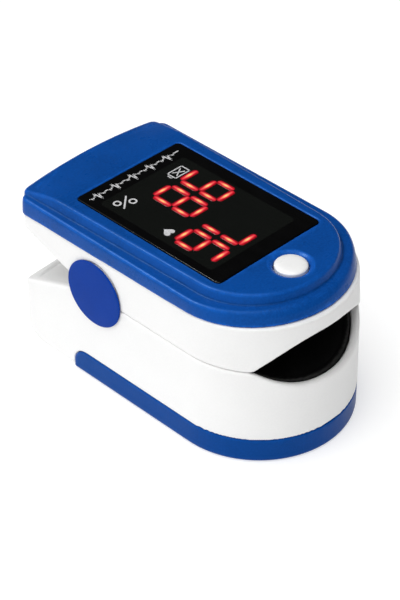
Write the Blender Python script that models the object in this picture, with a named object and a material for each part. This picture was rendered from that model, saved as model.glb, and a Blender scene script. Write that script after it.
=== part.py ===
"""Fingertip pulse oximeter, as separate pieces at real size.

The mouth that takes the finger faces -Y, the thumb tail faces +Y, and +Z is up through the display.
The origin is under the middle of the device, on the surface that it rests on.
All dimensions below are in millimetres; MM turns them into Blender's metres.
"""

import math

import bmesh
import bpy
from mathutils import Matrix, Vector

MM = 0.001
GAP = 0.3  # clearance between neighbouring pieces

# Casing
WALL = 1.5
BASE_TOP = 5.0
PARTING_Z = 20.15  # the plane where the closed jaws meet
LOWER_TOP = PARTING_Z - GAP / 2
UPPER_BOTTOM = PARTING_Z + GAP / 2
COVER_SEAM_Z = 28.15  # bottom of the blue cover above the origin
COVER_SEAM_SLOPE = -0.012  # the seam climbs towards the mouth
FLANGE_TOP = 31.1
LEDGE_Z = 31.35
PLATEAU_TOP = 32.9
COVER_PLATE = 1.6  # thickness of the cover under the plateau

# Hinge
HINGE_Y = 9.25
HINGE_Z = 20.9
CAP_RADIUS = 6.5
CAP_INNER_X = 17.0
CAP_OUTER_X = 18.2
EAR_RADIUS = 6.2
EAR_X = (14.7, 16.7)
LUG_RADIUS = 4.8
LUG_X = (12.4, 14.4)
PIN_RADIUS = 1.5
PIN_CLEARANCE = 0.08

# Mouth and finger pads
MOUTH_HALF_WIDTH = 14.2
MOUTH_RISE = 6.2
MOUTH_DROP = 4.9
PAD_HALF_WIDTH = 13.9
PAD_EDGE = 14.6
PAD_END_Y = 2.0
PAD_STOP_THICKNESS = 1.2
SENSOR_Y = -8.0

# Battery bay
CELL_RADIUS = 5.25
CELL_LENGTH = 44.5
CELL_X = 5.4
CELL_Z = 6.7
CELL_FRONT_Y = -22.3
TRAY_FLOOR = 1.2
TRAY_END_Y = 15.8
TRAY_END_RADIUS = 3.0
DECK_Z = (12.2, 13.2)

# Upper electronics
BOARD_Z = (27.8, 28.6)
WINDOW_HALF_WIDTH = 12.45
WINDOW_Y = (-15.25, 19.35)
WINDOW_THICKNESS = 1.0
BUTTON_Y = -19.95
BUTTON_RADIUS = 2.9

# Mesh fineness
NOSE_STEPS = 28
CORNER_STEPS = 4
TAIL_STEPS = 6
ARC_STEPS = 20
ROUND_STEPS = 20


# ---------------------------------------------------------------- outlines

def outline(half_width, nose_y, nose_length, tail_y, bulge=2.2, corner=2.4, inset=0.0):
    """Plan of the casing, anticlockwise: an elliptical nose, straight sides, an arched tail."""
    half = half_width - inset
    length = nose_length - inset
    points = []
    for step in range(NOSE_STEPS + 1):
        angle = math.pi * (1 + step / NOSE_STEPS)
        points.append((half * math.cos(angle), nose_y + length * math.sin(angle)))
    radius = max(corner - inset, 0.4)
    lean = math.atan(2 * bulge / (half - radius))
    start_y = tail_y - inset - radius
    corner_points = []
    for step in range(CORNER_STEPS + 1):
        angle = (math.pi / 2 - lean) * step / CORNER_STEPS
        x = half - radius + radius * math.cos(angle)
        corner_points.append((x, start_y + radius * math.sin(angle)))
    edge_x, edge_y = corner_points[-1]
    points += corner_points
    for step in range(1, TAIL_STEPS):
        x = edge_x * (1 - 2 * step / TAIL_STEPS)
        points.append((x, edge_y + bulge * (1 - (x / edge_x) ** 2)))
    points += [(-x, y) for x, y in reversed(corner_points)]
    return points


def level(points, z):
    """The plan points at one height; z is a number or a function of y."""
    return [(x, y, z(y) if callable(z) else z) for x, y in points]


def circle(radius, centre=(0.0, 0.0), steps=ROUND_STEPS):
    turns = [2 * math.pi * step / steps for step in range(steps)]
    return [(centre[0] + radius * math.cos(a), centre[1] + radius * math.sin(a)) for a in turns]


def rectangle(low, high):
    return [(low[0], low[1]), (high[0], low[1]), (high[0], high[1]), (low[0], high[1])]


def rounded_rectangle(half_width, y_range, radius):
    points = []
    for turn, (sx, y, sy) in enumerate(((1, y_range[1], -1), (-1, y_range[1], -1),
                                        (-1, y_range[0], 1), (1, y_range[0], 1))):
        for step in range(CORNER_STEPS + 1):
            angle = math.pi / 2 * (turn + step / CORNER_STEPS)
            x = sx * (half_width - radius) + radius * math.cos(angle)
            points.append((x, y + sy * radius + radius * math.sin(angle)))
    return points


def across(limit, steps=ARC_STEPS):
    """Evenly spaced x values from -limit to +limit."""
    return [limit * (2 * step / steps - 1) for step in range(steps + 1)]


# ---------------------------------------------------------------- meshes

def new_object(name, vertices, faces, colour=None):
    """A closed mesh from points in millimetres, with its normals facing out."""
    mesh = bpy.data.meshes.new(name)
    mesh.from_pydata([Vector(v) * MM for v in vertices], [], faces)
    shape = bmesh.new()
    shape.from_mesh(mesh)
    bmesh.ops.recalc_face_normals(shape, faces=shape.faces)
    shape.to_mesh(mesh)
    shape.free()
    obj = bpy.data.objects.new(name, mesh)
    bpy.context.collection.objects.link(obj)
    if colour:
        mesh.materials.append(colour)
    else:
        obj.hide_render = True
        obj.display_type = "WIRE"
    return obj


def loft(name, rings, colour=None):
    """Joins rings of equal length with quads and closes both ends."""
    count = len(rings[0])
    vertices = [point for ring in rings for point in ring]
    faces = [tuple(range(count)), tuple(range(len(vertices) - count, len(vertices)))]
    for row in range(len(rings) - 1):
        for i in range(count):
            j = (i + 1) % count
            base = row * count
            faces.append((base + i, base + j, base + count + j, base + count + i))
    return new_object(name, vertices, faces, colour)


def prism_x(name, yz, x_range, colour=None):
    return loft(name, [[(x, y, z) for y, z in yz] for x in x_range], colour)


def prism_y(name, xz, y_range, colour=None):
    return loft(name, [[(x, y, z) for x, z in xz] for y in y_range], colour)


def prism_z(name, xy, z_range, colour=None):
    return loft(name, [level(xy, z) for z in z_range], colour)


def box(name, x_range, y_range, z_range, colour=None):
    corners = rectangle((x_range[0], y_range[0]), (x_range[1], y_range[1]))
    return prism_z(name, corners, z_range, colour)


def turned_z(name, centre, profile, colour=None, steps=ROUND_STEPS):
    """Rings of (radius, z) stacked up a vertical axis."""
    rings = [[(x, y, z) for x, y in circle(radius, centre, steps)] for radius, z in profile]
    return loft(name, rings, colour)


def turned_x(name, centre, profile, colour=None, steps=ROUND_STEPS):
    """Rings of (radius, x) stacked along X; centre is (y, z)."""
    rings = [[(x, y, z) for y, z in circle(radius, centre, steps)] for radius, x in profile]
    return loft(name, rings, colour)


def boolean(target, other, operation, solver="EXACT"):
    modifier = target.modifiers.new(operation.title(), "BOOLEAN")
    modifier.operation = operation
    modifier.solver = solver
    modifier.object = other


def cut(target, *cutters):
    for cutter in cutters:
        boolean(target, cutter, "DIFFERENCE")


def join(target, *others):
    for other in others:
        boolean(target, other, "UNION")


def keep_inside(target, boundary):
    boolean(target, boundary, "INTERSECT")


def tube(name, points, radius, colour, resolution=1):
    """Round wire through the points, with closed ends."""
    curve = bpy.data.curves.new(name, "CURVE")
    curve.dimensions = "3D"
    spline = curve.splines.new("POLY")
    spline.points.add(len(points) - 1)
    for place, point in zip(spline.points, points):
        place.co = (*(Vector(point) * MM), 1)
    curve.bevel_depth = radius * MM
    curve.bevel_resolution = resolution
    curve.use_fill_caps = True
    curve.materials.append(colour)
    obj = bpy.data.objects.new(name, curve)
    bpy.context.collection.objects.link(obj)
    return obj


def smooth(obj, angle=math.radians(35)):
    obj.data.shade_smooth()
    obj.data.set_sharp_from_angle(angle=angle)


def material(name, colour, roughness, metallic=0.0):
    made = bpy.data.materials.new(name)
    made.use_nodes = True
    made.diffuse_color = (*colour, 1)
    shader = made.node_tree.nodes["Principled BSDF"]
    shader.inputs["Base Color"].default_value = (*colour, 1)
    shader.inputs["Roughness"].default_value = roughness
    shader.inputs["Metallic"].default_value = metallic
    return made


def empty(name, place, parent=None):
    made = bpy.data.objects.new(name, None)
    made.empty_display_size = 5 * MM
    made.location = Vector(place) * MM
    bpy.context.collection.objects.link(made)
    if parent:
        made.parent = parent
        made.matrix_parent_inverse = Matrix.Translation(parent.location).inverted()
    return made


def mirrored(build):
    """Runs build(side name, side sign) for the left (-X) and the right (+X) piece."""
    return [build("left", -1), build("right", 1)]


# ---------------------------------------------------------------- the casing's surfaces

def lower_plan(z, inset=0.0):
    """Outer plan of the lower jaw: it narrows a little upwards and rounds under at the tail."""
    rise = max(z - BASE_TOP, 0) / (LOWER_TOP - BASE_TOP)
    under = max(1 - z / 3.0, 0)
    half = 17.5 - 0.15 * rise - 0.5 * under ** 3
    nose = 17.28 - 0.3 * rise
    tail = 26.7 + 0.6 * min(z / 14, 1) - 2.1 * under ** 2
    return outline(half, -13.27, nose, tail, inset=inset)


def upper_plan(z, inset=0.0):
    """Outer plan of the upper jaw below its cover."""
    rise = (z - UPPER_BOTTOM) / (COVER_SEAM_Z - UPPER_BOTTOM)
    return outline(17.35, -13.0, 17.25 - 0.75 * rise, 28.0, inset=inset)


def cover_seam(y):
    return COVER_SEAM_Z + COVER_SEAM_SLOPE * y


def shell_top(y):
    return cover_seam(y) - GAP


def tray_profile(gap):
    """Side view of the base tray, with its rounded end towards the tail."""
    radius = TRAY_END_RADIUS + gap
    centre = (TRAY_END_Y - TRAY_END_RADIUS, BASE_TOP - TRAY_END_RADIUS)
    points = [(-40, -1), (TRAY_END_Y + gap, -1)]
    for step in range(7):
        angle = math.pi / 2 * step / 6
        points.append((centre[0] + radius * math.cos(angle), centre[1] + radius * math.sin(angle)))
    return points + [(-40, BASE_TOP + gap)]


def mouth_profile():
    """Front view of the finger opening, pointed at both corners."""
    xs = across(MOUTH_HALF_WIDTH)
    top = [(x, PARTING_Z + MOUTH_RISE * (1 - abs(x / MOUTH_HALF_WIDTH) ** 2.4)) for x in xs]
    bottom = [(x, PARTING_Z - MOUTH_DROP * (1 - abs(x / MOUTH_HALF_WIDTH) ** 3)) for x in xs]
    return bottom + top[-2:0:-1]


def arch(x, crown, half_width, power, foot):
    """Height of an arch of the given crown that reaches its foot at half_width."""
    return foot + crown * (1 - min(abs(x) / half_width, 1) ** power)


def deck_under(x):
    return arch(x, 6.2, 15.6, 2.6, UPPER_BOTTOM + 0.1)


def upper_pad_face(x):
    return arch(x, 4.9, PAD_HALF_WIDTH, 2.4, UPPER_BOTTOM + 0.1)


def lower_pad_face(x):
    return arch(x, -4.9, PAD_HALF_WIDTH, 3.0, LOWER_TOP)


def lower_pad_under(x):
    return arch(x, -5.9, 15.2, 3.2, LOWER_TOP)


def band(lower, upper, limit, steps=ARC_STEPS):
    """Closed (x, z) section between two curves over |x| <= limit."""
    xs = across(limit, steps)
    return [(x, lower(x)) for x in xs] + [(x, upper(x)) for x in reversed(xs)]


# ---------------------------------------------------------------- lower jaw

TAIL_PLATE_START = 13.4
LOWER_TAIL_TOP = [(15.4, 18.4), (27.2, 13.9), (40.0, 9.0)]
UPPER_TAIL_BOTTOM = [(16.0, 21.2), (27.3, 25.0), (40.0, 29.3)]
SCREW_HOLE = 1.0
SCREW_SHAFT = 0.7
SCREW_HEAD = 1.5
FRAME_SCREW = (13.9, 19.5)
BOARD_SCREW = (11.5, 16.5)
COVER_SCREW = (12.8, 23.5)


def lower_shell():
    heights = (0.3, 0.6, 1.1, 1.9, 3.0, BASE_TOP, 14.0, 21.0)
    shell = loft("lower_shell", [level(lower_plan(z), z) for z in heights], WHITE)
    above = [(-40, LOWER_TOP), (HINGE_Y, LOWER_TOP), *LOWER_TAIL_TOP, (40, 40), (-40, 40)]
    cut(shell, prism_x("lower_shell_top_cutter", above, (-20, 20)))
    cut(shell, prism_x("lower_shell_tray_cutter", tray_profile(GAP), (-20, 20)))

    cavity_heights = (-1.0, BASE_TOP, 14.0, 26.0)
    rings = [level(lower_plan(max(z, 3.0), WALL), z) for z in cavity_heights]
    cavity = loft("lower_shell_cavity", rings)
    plate = [(TAIL_PLATE_START, 17.4), (15.6, 17.4), (27.2, 13.1), (40, 8.4)]
    plate += [(y, z - 1.2) for y, z in reversed(plate)]
    cut(cavity, prism_x("lower_tail_plate", plate, (-20, 20)))
    floor = rectangle((TRAY_END_Y + GAP, -2), (40, TRAY_FLOOR))
    cut(cavity, prism_x("lower_tail_floor", floor, (-20, 20)))
    cut(shell, cavity)
    cut(shell, prism_y("lower_mouth_cutter", mouth_profile(), (-40, -12)))

    def side(name, sign):
        centre = (HINGE_Y, HINGE_Z)
        ear = turned_x(f"ear_{name}", centre, [(EAR_RADIUS, sign * x) for x in EAR_X])
        recess = [(CAP_RADIUS + GAP, sign * (EAR_X[1] + 0.01)), (CAP_RADIUS + GAP, sign * 20)]
        cut(shell, turned_x(f"lower_cap_recess_{name}", centre, recess))
        join(shell, ear)
        hole = [(PIN_RADIUS + PIN_CLEARANCE, sign * 14), (PIN_RADIUS + PIN_CLEARANCE, sign * 18)]
        cut(shell, turned_x(f"ear_hole_{name}", centre, hole))
        place = (sign * FRAME_SCREW[0], FRAME_SCREW[1])
        join(shell, turned_z(f"frame_post_{name}", place, [(2.2, DECK_Z[1] + GAP), (2.2, 14.95)]))
        cut(shell, turned_z(f"frame_post_hole_{name}", place, [(SCREW_HOLE, 12), (SCREW_HOLE, 14.6)]))
        ledge = [(13.8, 2.2), (16.0, 2.2), (16.0, 5.2), (17.0, 5.4), (17.0, 6.6), (14.9, 6.6),
                 (14.9, 3.4), (13.8, 3.4)]
        ledge = [(sign * x, z) for x, z in ledge]
        join(shell, prism_y(f"tray_guide_{name}", ledge, (-6, TRAY_END_Y - 4)))

    mirrored(side)
    return shell


def lower_frame():
    plan = outline(15.55, -13.0, 15.3, 22.5, bulge=0.8)
    frame = prism_z("lower_frame", plan, DECK_Z, BLACK_PLASTIC)

    def side(name, sign):
        wall_x = sorted((sign * 11.2, sign * 12.2))
        join(frame, box(f"bay_wall_{name}", wall_x, (-23.0, 22.0), (2.0, 12.5)))
        place = (sign * FRAME_SCREW[0], FRAME_SCREW[1])
        cut(frame, turned_z(f"frame_screw_hole_{name}", place, [(SCREW_HOLE, 11), (SCREW_HOLE, 14)]))

    mirrored(side)
    join(frame, box("bay_front_wall", (-11.4, 11.4), (-23.9, -23.1), (2.0, 12.4)))
    join(frame, box("bay_rib", (-0.5, 0.5), (-20.0, 20.0), (9.6, 12.5)))
    for index, y in enumerate((-20.0, -14.0, -1.0)):
        rib = [(x, lower_pad_under(x) - GAP) for x in across(12.0, 12)]
        rib = [(12.0, DECK_Z[1] - 0.3), (-12.0, DECK_Z[1] - 0.3), *rib]
        join(frame, prism_y(f"pad_rib_{index}", rib, (y, y + 1.2)))
    cut(frame, box("sensor_opening", (-4.0, 4.0), (SENSOR_Y - 5.0, SENSOR_Y + 5.0), (8.0, 14.0)))
    cut(frame, box("cable_way", (-3.0, 3.0), (-3.5, 4.0), (DECK_Z[1] + 0.01, 16.0)))
    return frame


def pad_window_hole(name, z_range):
    return box(name, (-3.3, 3.3), (SENSOR_Y - 4.3, SENSOR_Y + 4.3), z_range)


def lower_finger_pad():
    section = band(lower_pad_under, lower_pad_face, PAD_EDGE)
    pad = prism_y("lower_finger_pad", section, (-32, PAD_END_Y + PAD_STOP_THICKNESS), SILICONE)
    wall = band(lambda x: lower_pad_under(x) + 0.3, lambda x: LOWER_TOP, 14.2)
    join(pad, prism_y("lower_stop", wall, (PAD_END_Y, PAD_END_Y + PAD_STOP_THICKNESS - 0.05)))
    inside = [level(lower_plan(z, WALL + GAP), z) for z in (12.0, 21.0)]
    keep_inside(pad, loft("lower_pad_boundary", inside))
    cut(pad, pad_window_hole("lower_pad_window", (12, 18)))
    return pad


def tray():
    """Battery cover: a shallow tray that hooks under the two guides of the lower shell."""
    heights = (0.0, 0.25, 0.7, BASE_TOP)
    insets = (0.5, 0.15, 0.0, 0.0)
    rings = [level(lower_plan(3.0, inset), z) for z, inset in zip(heights, insets)]
    cover = loft("battery_cover", rings, BLUE)
    keep_inside(cover, prism_x("tray_end", tray_profile(0), (-20, 20)))
    inner = outline(17.5 - 1.2, -13.27, 17.28 - 1.2, 40.0)
    cut(cover, prism_z("tray_cavity", inner, (TRAY_FLOOR, 8.0)))

    def side(name, sign):
        hook = [(12.6, 1.0), (13.5, 1.0), (13.5, 3.7), (14.6, 3.7), (14.6, 4.6), (12.6, 4.6)]
        hook = [(sign * x, z) for x, z in hook]
        join(cover, prism_y(f"tray_hook_{name}", hook, (-6, TRAY_END_Y - 4)))

    mirrored(side)
    return cover


def cell(name, sign):
    """AAA cell, with its raised contact towards the mouth on the left and the tail on the right."""
    nub, shoulder = 0.8, 0.4
    ends = [0.0, shoulder, CELL_LENGTH - nub - 0.3, CELL_LENGTH - nub, CELL_LENGTH - nub, CELL_LENGTH]
    radii = [CELL_RADIUS - 0.5, CELL_RADIUS, CELL_RADIUS, CELL_RADIUS - 0.3, 2.2, 2.0]
    if sign < 0:
        ends = [CELL_LENGTH - end for end in ends]
    rings = []
    for radius, end in zip(radii, ends):
        section = circle(radius, (sign * CELL_X, CELL_Z))
        rings.append([(x, CELL_FRONT_Y + end, z) for x, z in section])
    return loft(f"battery_{name}", rings, CELL_LABEL)


def battery_spring(name, sign):
    """Coil contact that narrows towards its cell."""
    turns, steps = 3, 12
    start = CELL_FRONT_Y + CELL_LENGTH + GAP + 0.35
    points = []
    for step in range(turns * steps + 1):
        share = step / (turns * steps)
        angle = 2 * math.pi * turns * share
        radius = 2.2 + 1.6 * share
        x = sign * CELL_X + radius * math.cos(angle)
        points.append((x, start + 2.2 * share, CELL_Z + radius * math.sin(angle)))
    return tube(f"battery_spring_{name}", points, 0.3, SPRING_STEEL)


def screw(name, place, head_z, tip_z):
    """Pan-head screw; its head lies between the two head_z heights, and it points to tip_z."""
    near, far = head_z
    profile = [(SCREW_HEAD * 0.75, far), (SCREW_HEAD, far + (near - far) * 0.4), (SCREW_HEAD, near),
               (SCREW_SHAFT, near), (SCREW_SHAFT, tip_z), (0.3, tip_z + (tip_z - near) * 0.06)]
    made = turned_z(name, place, profile, SCREW_STEEL, 16)
    cross_low, cross_high = sorted((far - (near - far), far + (near - far) * 0.5))
    for index, (half_x, half_y) in enumerate(((1.0, 0.16), (0.16, 1.0))):
        cut(made, box(f"{name}_slot_{index}", (place[0] - half_x, place[0] + half_x),
                      (place[1] - half_y, place[1] + half_y), (cross_low, cross_high)))
    return made


def return_spring(name, sign):
    """Torsion spring round the hinge pin, with one leg on each tail."""
    turns, steps, coil, pitch = 4, 12, 2.75, 1.15
    start_x = 5.6
    points = [(sign * start_x, 15.4, 18.05)]
    for step in range(turns * steps + steps * 3 // 4 + 1):
        angle = -math.pi / 2 - 2 * math.pi * step / steps
        x = start_x + pitch * step / steps
        points.append((sign * x, HINGE_Y + coil * math.cos(angle), HINGE_Z + coil * math.sin(angle)))
    points += [(points[-1][0], 13.0, 21.15), (points[-1][0], 15.4, 21.25)]
    return tube(f"return_spring_{name}", points, 0.4, SPRING_STEEL)


def hinge_cap(name, sign):
    middle = (HINGE_Y, HINGE_Z)
    profile = [(CAP_RADIUS - 0.1, sign * CAP_INNER_X), (CAP_RADIUS, sign * (CAP_INNER_X + 0.15)),
               (CAP_RADIUS, sign * (CAP_OUTER_X - 0.35)), (CAP_RADIUS - 0.1, sign * (CAP_OUTER_X - 0.15)),
               (CAP_RADIUS - 0.4, sign * CAP_OUTER_X)]
    return turned_x(f"hinge_cap_{name}", middle, profile, CAP_BLUE, 48)


def bezier(points, steps):
    """Points on the cubic curve through the control points p0 to p3."""
    p0, p1, p2, p3 = (Vector(p) for p in points)
    made = []
    for step in range(steps + 1):
        t = step / steps
        made.append((1 - t) ** 3 * p0 + 3 * (1 - t) ** 2 * t * p1 + 3 * (1 - t) * t * t * p2 + t ** 3 * p3)
    return made


def flex_cable():
    """Flat cable: along the deck, up in front of the hinge pin, and under the main board."""
    low, high = DECK_Z[1] + 0.42, BOARD_Z[0] - 0.45
    start = bezier([(-4.2, low), (-1.0, low), (0.0, low), (1.5, low)], 3)
    rise = bezier([(1.5, low), (7.0, low), (5.2, 17.0), (5.4, 20.5)], 10)
    turn = bezier([(5.4, 20.5), (5.6, 25.0), (4.6, high), (9.0, high)], 10)
    path = start + rise[1:] + turn[1:]
    half = 0.12
    one_side, other_side = [], []
    for index, point in enumerate(path):
        before = path[max(index - 1, 0)]
        after = path[min(index + 1, len(path) - 1)]
        along = (after - before).normalized()
        normal = Vector((-along.y, along.x))
        one_side.append(tuple(point + normal * half))
        other_side.append(tuple(point - normal * half))
    return prism_x("flex_cable", one_side + other_side[::-1], (-2.5, 2.5), FLEX)


def lower_jaw():
    lower_shell()
    lower_frame()
    lower_finger_pad()
    y_range = (SENSOR_Y - 4.0, SENSOR_Y + 4.0)
    box("sensor_window", (-3.0, 3.0), y_range, (lower_pad_face(0) - 0.7, lower_pad_face(0)), CLEAR)
    box("photodiode", (-1.6, 1.6), (SENSOR_Y - 1.6, SENSOR_Y + 1.6), (13.5, 14.0), CHIP)
    box("sensor_board", (-3.7, 3.7), (SENSOR_Y - 4.7, SENSOR_Y + 4.7), (12.4, 13.2), BOARD_GREEN)
    mirrored(cell)
    bridge_y = (CELL_FRONT_Y - 0.6, CELL_FRONT_Y - GAP)
    box("contact_bridge", (-9.0, 9.0), bridge_y, (3.2, 10.2), SPRING_STEEL)
    mirrored(battery_spring)
    mirrored(lambda name, sign: screw(f"frame_screw_{name}", (sign * FRAME_SCREW[0], FRAME_SCREW[1]),
                                      (DECK_Z[0] - GAP, DECK_Z[0] - GAP - 0.9), 14.3))
    pin = [(PIN_RADIUS - 0.2, -16.5), (PIN_RADIUS, -16.3), (PIN_RADIUS, 16.3), (PIN_RADIUS - 0.2, 16.5)]
    turned_x("hinge_pin", (HINGE_Y, HINGE_Z), pin, PIN_STEEL)
    mirrored(hinge_cap)
    mirrored(return_spring)
    flex_cable()


# ---------------------------------------------------------------- upper jaw

def tail_plate_section():
    plate = [(TAIL_PLATE_START, 21.9), (16.0, 21.9), (27.3, 25.7), (40, 30.0)]
    return plate + [(y, z + 1.3) for y, z in reversed(plate)]


def upper_shell():
    rings = [level(upper_plan(18.5), 18.5), level(upper_plan(COVER_SEAM_Z), shell_top)]
    shell = loft("upper_shell", rings, WHITE)
    below = [(-40, UPPER_BOTTOM), (HINGE_Y, UPPER_BOTTOM), *UPPER_TAIL_BOTTOM, (40, 0), (-40, 0)]
    cut(shell, prism_x("upper_shell_bottom_cutter", below, (-20, 20)))
    cavity = loft("upper_shell_cavity", [level(upper_plan(z, WALL), z) for z in (18.0, 30.0)])
    cut(cavity, prism_x("upper_tail_plate", tail_plate_section(), (-20, 20)))
    cut(shell, cavity)
    cut(shell, prism_y("upper_mouth_cutter", mouth_profile(), (-40, -12)))

    deck_section = band(deck_under, lambda x: deck_under(x) + 0.9, 17.0)
    deck = prism_y("upper_deck", deck_section, (-31, 4.2))
    keep_inside(deck, loft("upper_deck_boundary", [level(upper_plan(z, WALL / 2), z) for z in (20, 28)]))
    window = (SENSOR_Y - 3.0, SENSOR_Y + 3.0)
    cut(deck, box("emitter_opening", (-2.6, 2.6), window, (24, 29)))
    boolean(shell, deck, "UNION", "MANIFOLD")  # its crown is too flat for the exact solver

    def side(name, sign):
        centre = (HINGE_Y, HINGE_Z)
        notch = [(CAP_RADIUS + GAP, sign * (LUG_X[1] + 0.12)), (CAP_RADIUS + GAP, sign * 20)]
        cut(shell, turned_x(f"upper_cap_notch_{name}", centre, notch))
        web = [(HINGE_Y - 4.4, HINGE_Z), (HINGE_Y + 2.0, HINGE_Z), (14.5, 22.5), (16.5, 22.6),
               (16.5, 27.3), (3.2, 27.3), (3.2, 24.6)]
        join(shell, prism_x(f"lug_web_{name}", web, [sign * x for x in LUG_X]))
        lug_x = (LUG_X[0] - 0.05, LUG_X[1] + 0.05)
        join(shell, turned_x(f"lug_{name}", centre, [(LUG_RADIUS, sign * x) for x in lug_x]))
        hole = [(PIN_RADIUS + PIN_CLEARANCE, sign * 11), (PIN_RADIUS + PIN_CLEARANCE, sign * 15.5)]
        cut(shell, turned_x(f"lug_hole_{name}", centre, hole))
        post = (sign * BOARD_SCREW[0], BOARD_SCREW[1])
        join(shell, turned_z(f"board_post_{name}", post, [(1.9, 23.0), (1.9, BOARD_Z[0] - GAP)]))
        cut(shell, turned_z(f"board_post_hole_{name}", post, [(SCREW_HOLE, 23.6), (SCREW_HOLE, 29)]))
        boss = (sign * COVER_SCREW[0], COVER_SCREW[1])
        join(shell, turned_z(f"cover_boss_{name}", boss, [(2.4, 24.9), (2.4, 26.7)]))
        cut(shell, turned_z(f"cover_counterbore_{name}", boss, [(1.8, 20), (1.8, 25.7)]))
        cut(shell, turned_z(f"cover_screw_hole_{name}", boss, [(SCREW_HOLE, 24), (SCREW_HOLE, 28)]))

    mirrored(side)
    return shell


def flange_plan(inset_side, inset_nose, inset_tail):
    nose_tip = 28.9 - inset_nose
    return outline(17.6 - inset_side, -12.2, nose_tip - 12.2, 28.2 - inset_tail)


def plateau_plan(inset):
    return outline(15.0, -12.5, 13.5, 28.6, bulge=1.9, corner=1.8, inset=inset)


def top_cover():
    rings = [level(flange_plan(0, 0, 0), cover_seam),
             level(flange_plan(0.05, 0.8, 0.05), FLANGE_TOP - 1.1),
             level(flange_plan(0.15, 1.4, 0.15), FLANGE_TOP - 0.45),
             level(flange_plan(0.45, 2.0, 0.45), FLANGE_TOP),
             level(flange_plan(0.9, 2.4, 0.9), LEDGE_Z - 0.05),
             level(plateau_plan(0), LEDGE_Z),
             level(plateau_plan(0.2), PLATEAU_TOP - 0.6),
             level(plateau_plan(0.4), PLATEAU_TOP - 0.25),
             level(plateau_plan(0.8), PLATEAU_TOP)]
    cover = loft("top_cover", rings, BLUE)
    inner = [level(flange_plan(WALL, WALL + 1.6, WALL), 27.0),
             level(flange_plan(WALL, WALL + 1.6, WALL), LEDGE_Z - 1.5),
             level(plateau_plan(1.5), LEDGE_Z - 1.0), level(plateau_plan(1.6), PLATEAU_TOP - COVER_PLATE)]
    cut(cover, loft("top_cover_cavity", inner))

    def side(name, sign):
        boss = (sign * COVER_SCREW[0], COVER_SCREW[1])
        join(cover, turned_z(f"cover_post_{name}", boss, [(1.9, 27.0), (1.9, PLATEAU_TOP - 0.8)]))
        cut(cover, turned_z(f"cover_post_hole_{name}", boss, [(SCREW_HOLE, 26), (SCREW_HOLE, 30.6)]))

    mirrored(side)
    seat = rounded_rectangle(WINDOW_HALF_WIDTH + GAP, (WINDOW_Y[0] - GAP, WINDOW_Y[1] + GAP), 0.9)
    seat_z = PLATEAU_TOP - WINDOW_THICKNESS - GAP
    cut(cover, prism_z("window_seat", seat, (seat_z, 40)))
    through = rounded_rectangle(11.3, (WINDOW_Y[0] + 1.4, WINDOW_Y[1] - 1.4), 0.9)
    cut(cover, prism_z("window_through", through, (25, 40)))
    button_hole = BUTTON_RADIUS + GAP
    hole = [(button_hole, 25), (button_hole, PLATEAU_TOP - 0.35), (button_hole + 0.45, PLATEAU_TOP + 0.1)]
    cut(cover, turned_z("button_hole", (0, BUTTON_Y), hole))
    return cover


def main_board():
    plan = outline(14.4, -12.2, 13.0, 19.6, bulge=0.5, corner=1.0)
    board = prism_z("main_board", plan, BOARD_Z, BOARD_GREEN)

    def side(name, sign):
        post = (sign * BOARD_SCREW[0], BOARD_SCREW[1])
        cut(board, turned_z(f"board_hole_{name}", post, [(SCREW_HOLE, 27), (SCREW_HOLE, 30)]))

    mirrored(side)
    return board


def display_module(name, y_range):
    """LED digit module: a black cell block with a slightly smaller face."""
    rings = [level(rounded_rectangle(10.8, y_range, 0.6), BOARD_Z[1] + GAP),
             level(rounded_rectangle(10.8, y_range, 0.6), 31.2),
             level(rounded_rectangle(10.6, (y_range[0] + 0.2, y_range[1] - 0.2), 0.5), 31.5)]
    return loft(name, rings, BLACK_PLASTIC)


def upper_finger_pad():
    section = band(upper_pad_face, lambda x: deck_under(x) - GAP, PAD_EDGE)
    pad = prism_y("upper_finger_pad", section, (-32, PAD_END_Y + PAD_STOP_THICKNESS), SILICONE)
    wall = band(lambda x: UPPER_BOTTOM + 0.1, lambda x: deck_under(x) - GAP - 0.3, 13.8)
    join(pad, prism_y("upper_stop", wall, (PAD_END_Y, PAD_END_Y + PAD_STOP_THICKNESS - 0.05)))
    inside = [level(upper_plan(UPPER_BOTTOM, WALL + GAP), 20), level(upper_plan(COVER_SEAM_Z, WALL + GAP), 28)]
    keep_inside(pad, loft("upper_pad_boundary", inside))
    cut(pad, pad_window_hole("upper_pad_window", (22, 28)))
    return pad


def tact_switch():
    low = BOARD_Z[1] + GAP
    switch = box("tact_switch", (-2.6, 2.6), (BUTTON_Y - 2.6, BUTTON_Y + 2.6), (low, low + 0.5), METAL_CAN)
    join(switch, turned_z("switch_plunger", (0, BUTTON_Y), [(1.3, low + 0.3), (1.3, low + 0.75)], steps=16))
    return switch


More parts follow.
